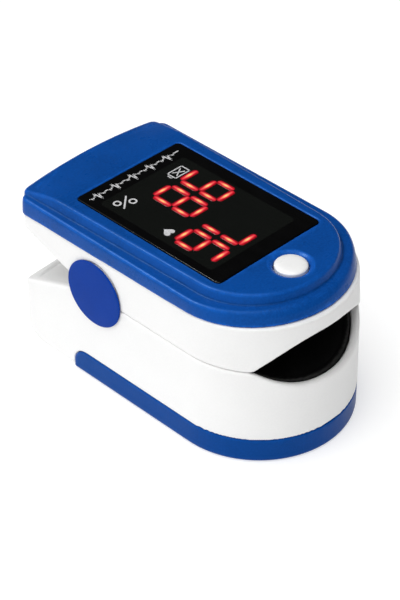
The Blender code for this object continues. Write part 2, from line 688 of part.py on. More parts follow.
def upper_jaw():
    upper_shell()
    top_cover()
    low = PLATEAU_TOP - WINDOW_THICKNESS
    plan = rounded_rectangle(WINDOW_HALF_WIDTH, WINDOW_Y, 0.8)
    inner = rounded_rectangle(WINDOW_HALF_WIDTH - 0.15, (WINDOW_Y[0] + 0.15, WINDOW_Y[1] - 0.15), 0.65)
    loft("display_window", [level(plan, low), level(plan, PLATEAU_TOP - 0.15), level(inner, PLATEAU_TOP)],
         ACRYLIC)
    main_board()
    display_module("pulse_display", (-12.3, -0.15))
    display_module("spo2_display", (0.15, 12.3))
    under = BOARD_Z[0] - GAP
    box("microcontroller", (-3.5, 3.5), (10.5, 17.5), (under - 0.9, under), CHIP)
    box("crystal", (5.2, 8.4), (11.0, 13.5), (under - 0.8, under), METAL_CAN)
    tact_switch()
    box("emitter_led", (-2.2, 2.2), (SENSOR_Y - 2.6, SENSOR_Y + 2.6), (under - 0.9, under), EMITTER)
    y_range = (SENSOR_Y - 4.0, SENSOR_Y + 4.0)
    box("emitter_window", (-3.0, 3.0), y_range, (upper_pad_face(0), upper_pad_face(0) + 0.9), CLEAR)
    upper_finger_pad()
    mirrored(lambda name, sign: screw(f"board_screw_{name}", (sign * BOARD_SCREW[0], BOARD_SCREW[1]),
                                      (BOARD_Z[1] + GAP, BOARD_Z[1] + GAP + 0.9), 24.2))
    mirrored(lambda name, sign: screw(f"cover_screw_{name}", (sign * COVER_SCREW[0], COVER_SCREW[1]),
                                      (25.4, 24.5), 29.9))


def power_button():
    """Low dome on a stem, with a flange that keeps it under the cover."""
    flange_low = PLATEAU_TOP - COVER_PLATE - 1.1
    profile = [(1.6, flange_low - 0.1), (3.5, flange_low), (3.5, flange_low + 0.7),
               (BUTTON_RADIUS, flange_low + 0.75), (BUTTON_RADIUS, PLATEAU_TOP + 0.05),
               (BUTTON_RADIUS - 0.25, PLATEAU_TOP + 0.3), (BUTTON_RADIUS - 0.8, PLATEAU_TOP + 0.48),
               (BUTTON_RADIUS - 1.7, PLATEAU_TOP + 0.58), (0.4, PLATEAU_TOP + 0.62)]
    return turned_z("power_button", (0, BUTTON_Y), profile, BUTTON_WHITE, 32)


# ---------------------------------------------------------------- build

def clear_scene():
    for obj in list(bpy.data.objects):
        bpy.data.objects.remove(obj)


def built_by(build):
    """Runs build and returns the visible objects that it added."""
    before = set(bpy.data.objects)
    build()
    return [obj for obj in bpy.data.objects if obj not in before and not obj.hide_render]


def parent_to(parent, place, objects):
    for obj in objects:
        obj.parent = parent
        obj.matrix_parent_inverse = Matrix.Translation(-Vector(place) * MM)


clear_scene()

WHITE = material("white_plastic", (0.86, 0.86, 0.84), 0.35)
BUTTON_WHITE = material("button_white", (0.88, 0.88, 0.86), 0.3)
BLUE = material("blue_plastic", (0.01, 0.085, 0.36), 0.4)
CAP_BLUE = material("cap_blue", (0.008, 0.05, 0.3), 0.4)
BLACK_PLASTIC = material("black_plastic", (0.02, 0.02, 0.022), 0.5)
ACRYLIC = material("black_acrylic", (0.004, 0.004, 0.005), 0.08)
SILICONE = material("black_silicone", (0.012, 0.012, 0.013), 0.6)
CLEAR = material("clear_plastic", (0.3, 0.08, 0.07), 0.1)
CHIP = material("chip_black", (0.015, 0.015, 0.017), 0.5)
EMITTER = material("emitter_amber", (0.75, 0.5, 0.3), 0.25)
BOARD_GREEN = material("board_green", (0.01, 0.13, 0.05), 0.45)
CELL_LABEL = material("cell_label", (0.05, 0.16, 0.1), 0.35)
SPRING_STEEL = material("spring_steel", (0.6, 0.6, 0.58), 0.25, 1.0)
SCREW_STEEL = material("screw_steel", (0.3, 0.3, 0.31), 0.35, 1.0)
PIN_STEEL = material("pin_steel", (0.55, 0.55, 0.56), 0.25, 1.0)
METAL_CAN = material("metal_can", (0.65, 0.65, 0.66), 0.3, 1.0)
FLEX = material("flex_amber", (0.55, 0.22, 0.03), 0.4)

HINGE_AXIS = (0.0, HINGE_Y, HINGE_Z)
TRAY_AXIS = (0.0, -7.4, 0.0)
BUTTON_AXIS = (0.0, BUTTON_Y, PLATEAU_TOP)
hinge_empty = empty("jaw_hinge_axis", HINGE_AXIS)
tray_empty = empty("battery_cover_axis", TRAY_AXIS)
button_empty = empty("power_button_axis", BUTTON_AXIS, hinge_empty)

built_by(lower_jaw)
parent_to(tray_empty, TRAY_AXIS, built_by(tray))
parent_to(hinge_empty, HINGE_AXIS, built_by(upper_jaw))
parent_to(button_empty, BUTTON_AXIS, built_by(power_button))

for piece in bpy.data.objects:
    if piece.type == "MESH" and not piece.hide_render:
        smooth(piece)
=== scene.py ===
"""Looks of the fingertip pulse oximeter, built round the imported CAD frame.

The casing pieces are distance fields with rounded edges, turned into closed meshes. Lengths are in
millimetres until mesh_piece() turns them into metres, in the same frame as the CAD.
"""
import math

import bmesh
import bpy
import numpy as np
from mathutils import Matrix, Vector


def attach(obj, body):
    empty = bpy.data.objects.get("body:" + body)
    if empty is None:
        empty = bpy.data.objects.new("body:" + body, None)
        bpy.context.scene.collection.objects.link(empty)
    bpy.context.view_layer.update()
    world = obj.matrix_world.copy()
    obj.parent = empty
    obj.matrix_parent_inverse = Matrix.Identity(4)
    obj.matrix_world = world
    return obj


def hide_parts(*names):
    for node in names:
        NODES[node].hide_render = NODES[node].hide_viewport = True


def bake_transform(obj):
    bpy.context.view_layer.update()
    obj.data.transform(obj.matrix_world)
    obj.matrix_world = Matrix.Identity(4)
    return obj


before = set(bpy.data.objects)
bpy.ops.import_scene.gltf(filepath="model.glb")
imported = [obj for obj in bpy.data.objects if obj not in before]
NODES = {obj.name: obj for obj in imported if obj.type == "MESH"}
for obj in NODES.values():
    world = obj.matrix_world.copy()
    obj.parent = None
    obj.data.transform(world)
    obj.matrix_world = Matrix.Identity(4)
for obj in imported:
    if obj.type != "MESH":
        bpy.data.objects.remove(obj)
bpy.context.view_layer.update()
MM = 0.001

# ---- sizes, in millimetres
# The parting line, mouth, discs, tray edge and tail outlines are read closer than in the CAD.

WALL = 1.5
BASE_TOP = 5.0
LOWER_TOP = 19.32
UPPER_BOTTOM = 19.44
COVER_SEAM_Z = 28.15
COVER_SEAM_SLOPE = -0.012
FLANGE_TOP = 31.1
PLATEAU_TOP = 32.9
HINGE_Y, HINGE_Z = 9.25, 20.9
PIN_BORE = 1.58
CAP_RADIUS = 6.5
CAP_X = (17.5, 17.92)
CAP_CENTRE = (9.7, 20.0)
SEAM = 0.09  # the gap that shows between two pieces of the casing
MOUTH_HALF_WIDTH = 13.1
MOUTH_FOOT = 19.4  # height of its corners
MOUTH_END_Y = -12.0
SENSOR_Y = -8.0
WINDOW_HALF_WIDTH = 12.45
WINDOW_Y = (-15.25, 19.35)
BUTTON_Y = -19.95
BUTTON_RADIUS = 2.9
TRAY_FLOOR = 1.2
TRAY_TOP = 4.8
TRAY_END_Y = 15.8
TRAY_END_RADIUS = 3.3
FRAME_SCREW = (13.9, 19.5)
BOARD_SCREW = (11.5, 16.5)
COVER_SCREW = (12.8, 23.5)


def arc(centre, radius, start, end, steps):
    """Points round a centre from one angle to another."""
    angles = [start + (end - start) * step / steps for step in range(steps + 1)]
    return [(centre[0] + radius * math.cos(a), centre[1] + radius * math.sin(a)) for a in angles]


def outline(half_width, nose_y, nose_length, tail_y, bulge=2.2, corner=2.4, inset=0.0):
    """Plan of the casing, anticlockwise: an elliptical nose, straight sides, an arched tail."""
    half, length = half_width - inset, nose_length - inset
    points = [(half * x, nose_y + length * y) for x, y in arc((0, 0), 1, math.pi, 2 * math.pi, 64)]
    radius = max(corner - inset, 0.4)
    lean = math.atan(2 * bulge / (half - radius))
    tail_corner = arc((half - radius, tail_y - inset - radius), radius, 0, math.pi / 2 - lean, 8)
    edge_x, edge_y = tail_corner[-1]
    points += tail_corner
    for step in range(1, 12):
        x = edge_x * (1 - step / 6)
        points.append((x, edge_y + bulge * (1 - (x / edge_x) ** 2)))
    return points + [(-x, y) for x, y in reversed(tail_corner)]


def lower_plan(z, inset=0.0):
    rise = max(z - BASE_TOP, 0) / (20.0 - BASE_TOP)
    under = max(1 - z / 4.2, 0)
    half = 17.5 - 0.15 * rise - 0.5 * under ** 3
    return outline(half, -13.27, 17.28 - 0.3 * rise, 28.5 - 4.2 * under ** 3, 0.95, 1.0, inset)


def upper_plan(z, inset=0.0):
    rise = (z - 20.3) / (COVER_SEAM_Z - 20.3)
    return outline(17.35, -13.0, 17.25 - 0.75 * rise, 28.5, 1.5, 1.2, inset)


def flange_plan(side, nose, tail):
    return outline(17.6 - side, -12.2, 16.7 - nose, 29.0 - tail, 1.1, 1.8)


def plateau_plan(inset):
    """The plateau widens towards its tail corners."""
    points = []
    for x, y in outline(15.0, -12.5, 13.5, 29.7, 0.6, 1.4, inset):
        flare = min(max((y - 21.0) / 8.0, 0), 1)
        points.append((x * (1 + 0.075 * flare * flare * (3 - 2 * flare)), y))
    return points


def rounded_rectangle(half_width, y_range, radius, steps=6):
    low, high = y_range
    points = []
    for turn, (sx, y, sy) in enumerate(((1, high, -1), (-1, high, -1), (-1, low, 1), (1, low, 1))):
        centre = (sx * (half_width - radius), y + sy * radius)
        points += arc(centre, radius, math.pi / 2 * turn, math.pi / 2 * (turn + 1), steps)
    return points


def arch(x, crown, half_width, power, foot):
    return foot + crown * (1 - min(abs(x) / half_width, 1) ** power)


def deck_under(x):
    return arch(x, 6.2, 15.6, 2.6, 20.4)


def upper_pad_face(x):
    return arch(x, 4.9, 13.9, 2.4, 20.4)


def lower_pad_face(x):
    return arch(x, -4.9, 13.9, 3.0, 20.0)


def lower_pad_under(x):
    return arch(x, -5.9, 15.2, 3.2, 20.0)


def across(limit):
    return [limit * (step / 32 - 1) for step in range(65)]


def band(lower, upper, limit):
    """Closed (x, z) section between two curves over |x| <= limit."""
    return [(x, lower(x)) for x in across(limit)] + [(x, upper(x)) for x in across(-limit)]


def mouth_profile():
    def edge(height, power):
        return [(x, arch(x, height, MOUTH_HALF_WIDTH, power, MOUTH_FOOT))
                for x in across(MOUTH_HALF_WIDTH)]

    return edge(-4.15, 2.8) + edge(6.05, 2.6)[-2:0:-1]


def tray_profile(gap):
    """Side view of the base tray, with its rounded end towards the tail."""
    centre = (TRAY_END_Y - TRAY_END_RADIUS, TRAY_TOP - TRAY_END_RADIUS)
    end = arc(centre, TRAY_END_RADIUS + gap, 0, math.pi / 2, 12)
    return [(-40, -3), (TRAY_END_Y + gap, -3), *end, (-40, TRAY_TOP + gap)]


# ---- distance fields

def polygon(points, u, v):
    """Signed distance on the (u, v) grid to a closed outline, negative inside."""
    shape = np.broadcast(u, v).shape
    nearest = np.full(shape, 1e9, np.float32)
    inside = np.zeros(shape, bool)
    for (ax, ay), (bx, by) in zip(points, points[1:] + points[:1]):
        ex, ey = bx - ax, by - ay
        size = ex * ex + ey * ey
        if size < 1e-12:
            continue
        along = np.clip(((u - ax) * ex + (v - ay) * ey) / size, 0, 1)
        nearest = np.minimum(nearest, (u - ax - ex * along) ** 2 + (v - ay - ey * along) ** 2)
        if ay != by:
            inside ^= ((ay > v) != (by > v)) & (u < ex * (v - ay) / ey + ax)
    return np.where(inside, -1, 1) * np.sqrt(nearest)


def meet(a, b, radius=0.0):
    """Where both are solid, with the edge between them rounded."""
    if not radius:
        return np.maximum(a, b)
    return (np.minimum(-radius, np.maximum(a, b))
            + np.hypot(np.maximum(a + radius, 0), np.maximum(b + radius, 0)))


def merge(a, b, radius=0.0):
    return -meet(-a, -b, radius)


def carve(a, b, radius=0.0):
    return meet(a, -b, radius)


def slab(places, low, high):
    """Between two coordinates, or two distances from the middle."""
    return np.maximum(low - places, places - high)


class Grid:
    """Points at which a piece's distance field is worked out."""

    def __init__(self, low, high, step):
        self.low, self.step = np.array(low, float) + step * 0.37, step
        sizes = [int(math.ceil((h - l) / step)) + 2 for l, h in zip(low, high)]
        places = [self.low[k] + step * np.arange(sizes[k]) for k in range(3)]
        self.x = places[0].reshape(-1, 1, 1).astype(np.float32)
        self.y = places[1].reshape(1, -1, 1).astype(np.float32)
        self.z = places[2].reshape(1, 1, -1).astype(np.float32)
        self.side = np.abs(self.x)  # both halves of the casing are alike

    def plan(self, points):
        return polygon(points, self.x, self.y)

    def loft(self, levels):
        """Between plans at rising heights."""
        heights = np.array([z for z, _ in levels])
        plans = [self.plan(points) for _, points in levels]
        made = np.empty(np.broadcast(self.x, self.y, self.z).shape, np.float32)
        for k, z in enumerate(self.z.ravel()):
            i = int(np.clip(np.searchsorted(heights, z) - 1, 0, len(levels) - 2))
            share = min(max((z - heights[i]) / (heights[i + 1] - heights[i]), 0), 1)
            made[:, :, k] = (plans[i] * (1 - share) + plans[i + 1] * share)[:, :, 0]
        return made

    def profile(self, points):
        """Side view (y, z), endless along X."""
        return polygon(points, self.y, self.z)

    def section(self, points):
        """Front view (x, z), endless along Y."""
        return polygon(points, self.x, self.z)

    def half_section(self, points):
        """Front view of a shape that is on both sides."""
        return polygon(points, self.side, self.z)

    def round_x(self, radius, x_range, edge=0.0):
        """Discs round the hinge's axis on both sides."""
        away = np.hypot(self.y - HINGE_Y, self.z - HINGE_Z) - radius
        return meet(away, slab(self.side, *x_range), edge)

    def round_z(self, centre, radius, z_range):
        """Posts along Z on both sides."""
        away = np.hypot(self.side - centre[0], self.y - centre[1]) - radius
        return meet(away, slab(self.z, *z_range))


def net(field):
    """Closed mesh where the field is zero: a vertex per crossed cell, a face per crossed edge."""
    cells = np.array(field.shape) - 1
    ids, places, quads = [], [], []
    for axis in range(3):
        order = [(axis + k) % 3 for k in range(3)]
        swung = np.transpose(field, order)
        a, b = swung[:-1, 1:-1, 1:-1], swung[1:, 1:-1, 1:-1]
        found = np.argwhere((a < 0) != (b < 0))
        before = a[tuple(found.T)].astype(float)
        after = b[tuple(found.T)].astype(float)
        found[:, 1:] += 1
        point = found.astype(float)
        point[:, 0] += before / (before - after)
        back = np.argsort(order)
        corners = []
        for du, dv in ((-1, -1), (0, -1), (0, 0), (-1, 0)):
            cell = (found + np.array([0, du, dv]))[:, back]
            number = (cell[:, 0] * cells[1] + cell[:, 1]) * cells[2] + cell[:, 2]
            corners.append(number)
            ids.append(number)
            places.append(point[:, back])
        quad = np.stack(corners, 1)
        flip = before > 0
        quad[flip] = quad[flip][:, ::-1]
        quads.append(quad)
    ids, places, quads = np.concatenate(ids), np.concatenate(places), np.concatenate(quads)
    used, index = np.unique(ids, return_inverse=True)
    index = index.reshape(-1)
    count = np.bincount(index)
    mean = np.stack([np.bincount(index, places[:, k]) / count for k in range(3)], 1)
    faces = np.searchsorted(used, quads)
    return mean, faces


def sample(field, at):
    cell = np.clip(np.rint(at).astype(int), 0, np.array(field.shape) - 1)
    return field[cell[:, 0], cell[:, 1], cell[:, 2]].astype(float)


def field_piece(name, grid, field, share):
    """The piece whose surface is at zero, thinned to a share of its triangles, edges marked."""
    field = np.ascontiguousarray(np.broadcast_to(field, np.broadcast(grid.x, grid.y, grid.z).shape))
    at, faces = net(field)
    reach = max(int(round(0.6 / grid.step)), 1)
    bend = -6 * sample(field, at)
    for axis in range(3):
        for sign in (-reach, reach):
            moved = at.copy()
            moved[:, axis] += sign
            bend += sample(field, moved)
    bend /= reach * grid.step
    obj = mesh_piece(name, grid.low + at * grid.step, faces)
    attribute = obj.data.attributes.new("edge", "FLOAT", "POINT")
    attribute.data.foreach_set("value", np.clip(bend, -2, 2).astype(np.float32))
    thin = obj.modifiers.new("thin", "DECIMATE")
    thin.ratio = share
    weigh = obj.modifiers.new("weigh", "WEIGHTED_NORMAL")
    weigh.mode = "FACE_AREA"
    weigh.weight = 50
    bpy.context.view_layer.update()
    depsgraph = bpy.context.evaluated_depsgraph_get()
    made = bpy.data.meshes.new_from_object(obj.evaluated_get(depsgraph),
                                           preserve_all_data_layers=True, depsgraph=depsgraph)
    obj.modifiers.clear()
    old, obj.data = obj.data, made
    bpy.data.meshes.remove(old)
    made.name = name
    return obj


def in_scene(name, data):
    obj = bpy.data.objects.new(name, data)
    bpy.context.scene.collection.objects.link(obj)
    return obj


def mesh_piece(name, points, faces):
    mesh = bpy.data.meshes.new(name)
    mesh.from_pydata((np.asarray(points, float) * MM).tolist(), [],
                     faces.tolist() if isinstance(faces, np.ndarray) else faces)
    mesh.validate()
    mesh.shade_smooth()
    return in_scene(name, mesh)


# ---- casing pieces

def lower_shell():
    g = Grid((-18.5, -32, -0.6), (18.5, 30.6, 27.8), 0.27)
    heights = (0.3, 0.5, 0.8, 1.2, 1.8, 2.6, 3.4, BASE_TOP, 14.0, 20.0)
    outer = g.loft([(z, lower_plan(z)) for z in heights])
    kept = [(-40, 0.3), (40, 0.3), (40, 9.0), (27.3, 13.65), (15.4, 18.0), (HINGE_Y, LOWER_TOP),
            (-40, LOWER_TOP)]
    body = meet(outer, g.profile(kept), 0.4)
    heights = (-1.0, 1.3, 1.9, 2.6, 3.4, BASE_TOP, 14.0, 26.0)
    cavity = g.loft([(z, lower_plan(max(z, 1.3), WALL)) for z in heights])
    skin = [(12.6, 17.4), (15.6, 17.4), (27.2, 13.15), (40, 8.45)]
    skin += [(y, z - 1.2) for y, z in reversed(skin)]
    cavity = carve(cavity, g.profile(skin), 0.3)
    cavity = carve(cavity, meet(TRAY_END_Y + 0.3 - g.y, g.z - TRAY_FLOOR), 0.3)
    shell = carve(body, cavity, 0.3)
    mouth = meet(g.section(mouth_profile()), g.y - MOUTH_END_Y)
    shell = carve(shell, mouth, 0.62)
    shell = carve(shell, g.profile(tray_profile(SEAM)), 0.12)
    shell = merge(shell, g.round_x(5.2, (14.7, 17.3), 0.2))
    shell = carve(shell, g.round_x(PIN_BORE, (13, 16.4)))
    shell = merge(shell, g.round_z(FRAME_SCREW, 2.2, (13.5, 14.95)), 0.3)
    shell = carve(shell, g.round_z(FRAME_SCREW, 1.0, (12, 14.6)))
    ledge = [(13.8, 2.2), (16.0, 2.2), (16.0, 5.2), (17.0, 5.4), (17.0, 6.6), (14.9, 6.6),
             (14.9, 3.4), (13.8, 3.4)]
    guide = meet(g.half_section(ledge), slab(g.y, -6, TRAY_END_Y - 4), 0.2)
    return field_piece("lower_shell_moulding", g, merge(shell, guide), 0.3)


def upper_shell():
    g = Grid((-18, -31.5, 15.4), (18, 31.0, 28.9), 0.24)
    outer = g.loft([(18.5, upper_plan(18.5)), (COVER_SEAM_Z, upper_plan(COVER_SEAM_Z))])
    kept = [(-40, UPPER_BOTTOM), (HINGE_Y, UPPER_BOTTOM), (16.0, 20.85), (27.3, 24.6), (40, 28.9),
            (40, COVER_SEAM_Z + 40 * COVER_SEAM_SLOPE - SEAM),
            (-40, COVER_SEAM_Z - 40 * COVER_SEAM_SLOPE - SEAM)]
    body = meet(outer, g.profile(kept), 0.32)
    cavity = g.loft([(z, upper_plan(z, WALL)) for z in (18.0, 30.0)])
    skin = [(13.4, 21.9), (16.0, 21.9), (27.3, 25.7), (40, 30.0)]
    skin += [(y, z + 1.3) for y, z in reversed(skin)]
    cavity = carve(cavity, g.profile(skin), 0.3)
    shell = carve(body, cavity, 0.3)
    mouth = meet(g.section(mouth_profile()), g.y - MOUTH_END_Y)
    shell = carve(shell, mouth, 0.5)
    deck = g.section(band(deck_under, lambda x: deck_under(x) + 0.9, 17.0))
    inner = g.loft([(z, upper_plan(z, WALL / 2)) for z in (20, 28)])
    deck = meet(meet(deck, slab(g.y, -31, 4.2)), inner)
    opening = np.maximum(g.side - 2.6, slab(g.y, SENSOR_Y - 3, SENSOR_Y + 3))
    shell = merge(shell, carve(deck, opening), 0.25)
    shell = carve(shell, g.round_x(5.4, (14.52, 20), 0.1))
    web = [(HINGE_Y - 4.4, HINGE_Z), (HINGE_Y + 2.0, HINGE_Z), (14.5, 22.5), (16.5, 22.6),
           (16.5, 27.3), (3.0, 27.3), (3.0, 24.6)]
    lug = merge(g.profile(web), np.hypot(g.y - HINGE_Y, g.z - HINGE_Z) - 4.8)
    shell = merge(shell, meet(lug, slab(g.side, 12.4, 14.4), 0.2), 0.2)
    shell = carve(shell, g.round_x(PIN_BORE, (11, 15.5)))
    shell = merge(shell, g.round_z(BOARD_SCREW, 1.9, (23.0, 27.5)), 0.2)
    shell = carve(shell, g.round_z(BOARD_SCREW, 1.0, (23.6, 29)))
    shell = merge(shell, g.round_z(COVER_SCREW, 2.4, (24.9, 26.7)), 0.2)
    shell = carve(shell, g.round_z(COVER_SCREW, 1.8, (20, 25.7)), 0.15)
    shell = carve(shell, g.round_z(COVER_SCREW, 1.0, (24, 28)))
    return field_piece("upper_shell_moulding", g, shell, 0.3)


def plateau_height(g):
    """Top of the plateau: level round the window, then a crease and a falling thumb rest."""
    crease = 21.7 + 2.7 * (g.x / 14.5) ** 2
    past = g.y - crease
    slope = 0.5 * (past + np.sqrt(past ** 2 + 0.8)) * 0.075
    tail = np.clip((g.y - 21.5) / 8, 0, 1)
    crown = (0.05 + 0.95 * tail) * (g.x / 14.5) ** 2 + 0.12 * np.clip((-g.y - 17) / 9, 0, 1) ** 2
    return PLATEAU_TOP - slope - crown


def top_cover():
    g = Grid((-18, -29.4, 27.4), (18, 31, 33.3), 0.2)
    sides = g.loft([(28.0, flange_plan(0, 0, 0)), (30.0, flange_plan(0.06, 0.8, 0.05)),
                    (FLANGE_TOP, flange_plan(0.15, 1.6, 0.15))])
    seam = COVER_SEAM_Z + COVER_SEAM_SLOPE * g.y - g.z
    flange = meet(meet(sides, g.z - FLANGE_TOP, 0.62), seam, 0.15)
    plateau = g.loft([(30.0, plateau_plan(-0.1)), (31.3, plateau_plan(0)),
                      (PLATEAU_TOP, plateau_plan(0.6))])
    plateau = meet(meet(plateau, g.z - plateau_height(g), 0.5), 30.0 - g.z)
    cover = merge(flange, plateau, 0.16)
    inner = g.loft([(29.8, flange_plan(WALL, WALL + 1.6, WALL)), (30.35, plateau_plan(1.5)),
                    (31.3, plateau_plan(1.6))])
    inner = meet(inner, g.z - 31.3)
    cover = carve(cover, inner, 0.2)
    cover = merge(cover, g.round_z(COVER_SCREW, 1.9, (27.6, 32.1)), 0.15)
    cover = carve(cover, g.round_z(COVER_SCREW, 1.0, (26, 30.6)))
    seat_y = (WINDOW_Y[0] - SEAM, WINDOW_Y[1] + SEAM)
    seat = g.plan(rounded_rectangle(WINDOW_HALF_WIDTH + SEAM, seat_y, 0.9))
    cover = carve(cover, meet(seat, 31.6 - g.z), 0.12)
    through = g.plan(rounded_rectangle(11.3, (WINDOW_Y[0] + 1.4, WINDOW_Y[1] - 1.4), 0.9))
    cover = carve(cover, through)
    away = np.hypot(g.x, g.y - BUTTON_Y)
    hole = away - (BUTTON_RADIUS + 0.2) - np.clip(g.z - (PLATEAU_TOP - 0.5), 0, 1) * 1.5
    return field_piece("top_cover_moulding", g, carve(cover, hole, 0.1), 0.3)


def battery_cover():
    g = Grid((-18.2, -31.4, -0.5), (18.2, 16.6, 5.8), 0.23)
    outer = meet(g.plan(lower_plan(3.0)), slab(g.z, 0.0, 20), 0.6)
    tray = meet(outer, g.profile(tray_profile(0)), 0.15)
    inner = g.plan(outline(17.5 - 1.2, -13.27, 17.28 - 1.2, 40.0))
    tray = carve(tray, meet(inner, TRAY_FLOOR - g.z), 0.2)
    hook = [(12.6, 1.0), (13.5, 1.0), (13.5, 3.7), (14.6, 3.7), (14.6, 4.6), (12.6, 4.6)]
    tray = merge(tray, meet(g.half_section(hook), slab(g.y, -6, TRAY_END_Y - 4), 0.15), 0.1)
    return field_piece("battery_cover_moulding", g, tray, 0.28)


def finger_pad(name, section, rim, stop, z_range, inside, window_z):
    g = Grid((-15.4, -31, z_range[0] - 0.5), (15.4, 4.2, z_range[1] + 0.5), 0.24)
    pad = meet(g.section(section), g.y - 3.2, 0.2)
    walls = g.loft(inside)
    pad = merge(pad, meet(g.section(rim), np.abs(walls + 0.55) - 0.5, 0.3), 0.15)
    pad = meet(pad, slab(g.z, *z_range), 0.15)
    pad = merge(pad, meet(g.section(stop), slab(g.y, 2.0, 3.15)), 0.4)
    pad = meet(pad, walls, 0.4)
    window = np.maximum(g.side - 3.15, np.abs(g.y - SENSOR_Y) - 4.15)
    pad = carve(pad, meet(window, slab(g.z, *window_z)), 0.12)
    return field_piece(name, g, pad, 0.3)


def lower_finger_pad():
    return finger_pad("lower_pad_moulding", band(lower_pad_under, lower_pad_face, 14.6),
                      band(lower_pad_under, lambda x: arch(x, -4.15, 13.1, 2.8, 19.3) + 0.1, 13.6),
                      band(lambda x: lower_pad_under(x) + 0.3, lambda x: 20.0, 14.2), (14, 19.3),
                      [(z, lower_plan(z, WALL + 0.15)) for z in (12.0, 21.0)], (12, 18))


def upper_finger_pad():
    return finger_pad("upper_pad_moulding", band(upper_pad_face, lambda x: deck_under(x) - 0.2, 14.6),
                      band(lambda x: upper_pad_face(x) - 0.1, lambda x: deck_under(x) - 0.2, 13.6),
                      band(lambda x: 20.4, lambda x: deck_under(x) - 0.5, 13.8), (20.3, 26.8),
                      [(z, upper_plan(z, WALL + 0.15)) for z in (20.3, COVER_SEAM_Z)], (22, 28))


# ---- turned, lofted and drawn pieces

def rings_mesh(rings):
    """Points and faces of rings of equal length, closed at both ends."""
    count = len(rings[0])
    points = [point for ring in rings for point in ring]
    faces = [tuple(reversed(range(count))), tuple(range(len(points) - count, len(points)))]
    for row in range(len(rings) - 1):
        for i in range(count):
            j = (i + 1) % count
            base = row * count
            faces.append((base + i, base + j, base + count + j, base + count + i))
    return points, faces


def joined(name, parts):
    """One piece from several closed parts, each (points, faces), with its faces turned out."""
    points, faces = [], []
    for part_points, part_faces in parts:
        base = len(points)
        points += part_points
        faces += [tuple(base + i for i in face) for face in part_faces]
    obj = mesh_piece(name, points, faces)
    shape = bmesh.new()
    shape.from_mesh(obj.data)
    bmesh.ops.recalc_face_normals(shape, faces=shape.faces)
    shape.to_mesh(obj.data)
    shape.free()
    return obj


def crisp(obj, angle=35):
    """Keeps flat faces flat beside rounded edges."""
    obj.data.set_sharp_from_angle(angle=math.radians(angle))
    weigh = obj.modifiers.new("weigh", "WEIGHTED_NORMAL")
    weigh.keep_sharp = True
    return obj


def turned(name, profile, where):
    """A piece turned round an axis from (radius, height); where maps (u, v, height) to a point."""
    rings = [[where(u, v, height) for u, v in arc((0, 0), radius, 0, 2 * math.pi, 112)[:-1]]
             for radius, height in profile]
    return joined(name, [rings_mesh(rings)])


def curve(controls, steps=6):
    """Points of a Bezier curve."""
    made = []
    for step in range(steps + 1):
        level, t = controls, step / steps
        while len(level) > 1:
            level = [[(1 - t) * a + t * b for a, b in zip(p, q)] for p, q in zip(level, level[1:])]
        made.append(tuple(level[0]))
    return made


def hinge_cap(name, sign):
    low, high = CAP_X
    profile = [(0.5, low), (CAP_RADIUS - 0.1, low), (CAP_RADIUS, low + 0.08),
               (CAP_RADIUS, high - 0.3)]
    profile += curve(((CAP_RADIUS, high - 0.26), (CAP_RADIUS, high - 0.1),
                      (CAP_RADIUS - 0.2, high - 0.08)))
    profile += [(CAP_RADIUS - 0.4, high - 0.07), (5.0, high - 0.04), (3.0, high - 0.015), (0.5, high)]
    return turned(name, profile, lambda u, v, h: (sign * h, CAP_CENTRE[0] + u, CAP_CENTRE[1] + v))


def power_button():
    low = 30.2
    profile = [(0.5, low - 0.1), (1.6, low - 0.1), (3.4, low), (3.5, low + 0.1), (3.5, low + 0.6),
               (3.4, low + 0.7), (BUTTON_RADIUS, low + 0.75), (BUTTON_RADIUS, 32.4)]
    for step in range(17):
        t = math.pi / 2 * step / 16
        profile.append((max(BUTTON_RADIUS * math.cos(t) ** 0.5, 0.08), 32.6 + 0.52 * math.sin(t)))
    return turned("power_button_dome", profile, lambda u, v, h: (u, BUTTON_Y + v, h))


def display_window():
    levels = [(0.12, 31.9), (0.0, 32.0), (0.0, 32.7)]
    levels += curve(((0.0, 32.72), (0.0, PLATEAU_TOP), (0.2, PLATEAU_TOP)))
    levels += [(0.5, PLATEAU_TOP), (1.5, PLATEAU_TOP), (4.0, PLATEAU_TOP)]
    rings = []
    for inset, z in levels:
        y_range = (WINDOW_Y[0] + inset, WINDOW_Y[1] - inset)
        plan = rounded_rectangle(WINDOW_HALF_WIDTH - inset, y_range, max(0.8 - inset * 0.5, 0.2), 8)
        rings.append([(x, y, z) for x, y in plan])
    return crisp(joined("display_lens", [rings_mesh(rings)]), 60)


GLASS = PLATEAU_TOP  # the display marks lie on this height
SUNK = 0.05  # how far they reach into the window
PRINT_HEIGHT = 0.035
PANEL_HEIGHT = 0.012
SOFT_RIM = 0.01


def plate(plan, height):
    """A thin raised plate on the window with a softened rim."""
    cx = sum(x for x, _ in plan) / len(plan)
    cy = sum(y for _, y in plan) / len(plan)
    keep = 1 - SOFT_RIM / max(math.hypot(x - cx, y - cy) for x, y in plan)
    top = GLASS + height
    return rings_mesh([[(x, y, GLASS - SUNK) for x, y in plan],
                       [(x, y, top - SOFT_RIM) for x, y in plan],
                       [(cx + (x - cx) * keep, cy + (y - cy) * keep, top) for x, y in plan]])


def stroke(start, end, width):
    """Plan of a round-ended line."""
    (ax, ay), (bx, by) = start, end
    turn = math.atan2(by - ay, bx - ax)
    points = []
    for centre, base in ((end, turn - math.pi / 2), (start, turn + math.pi / 2)):
        points += arc(centre, width / 2, base, base + math.pi, 8)
    return points


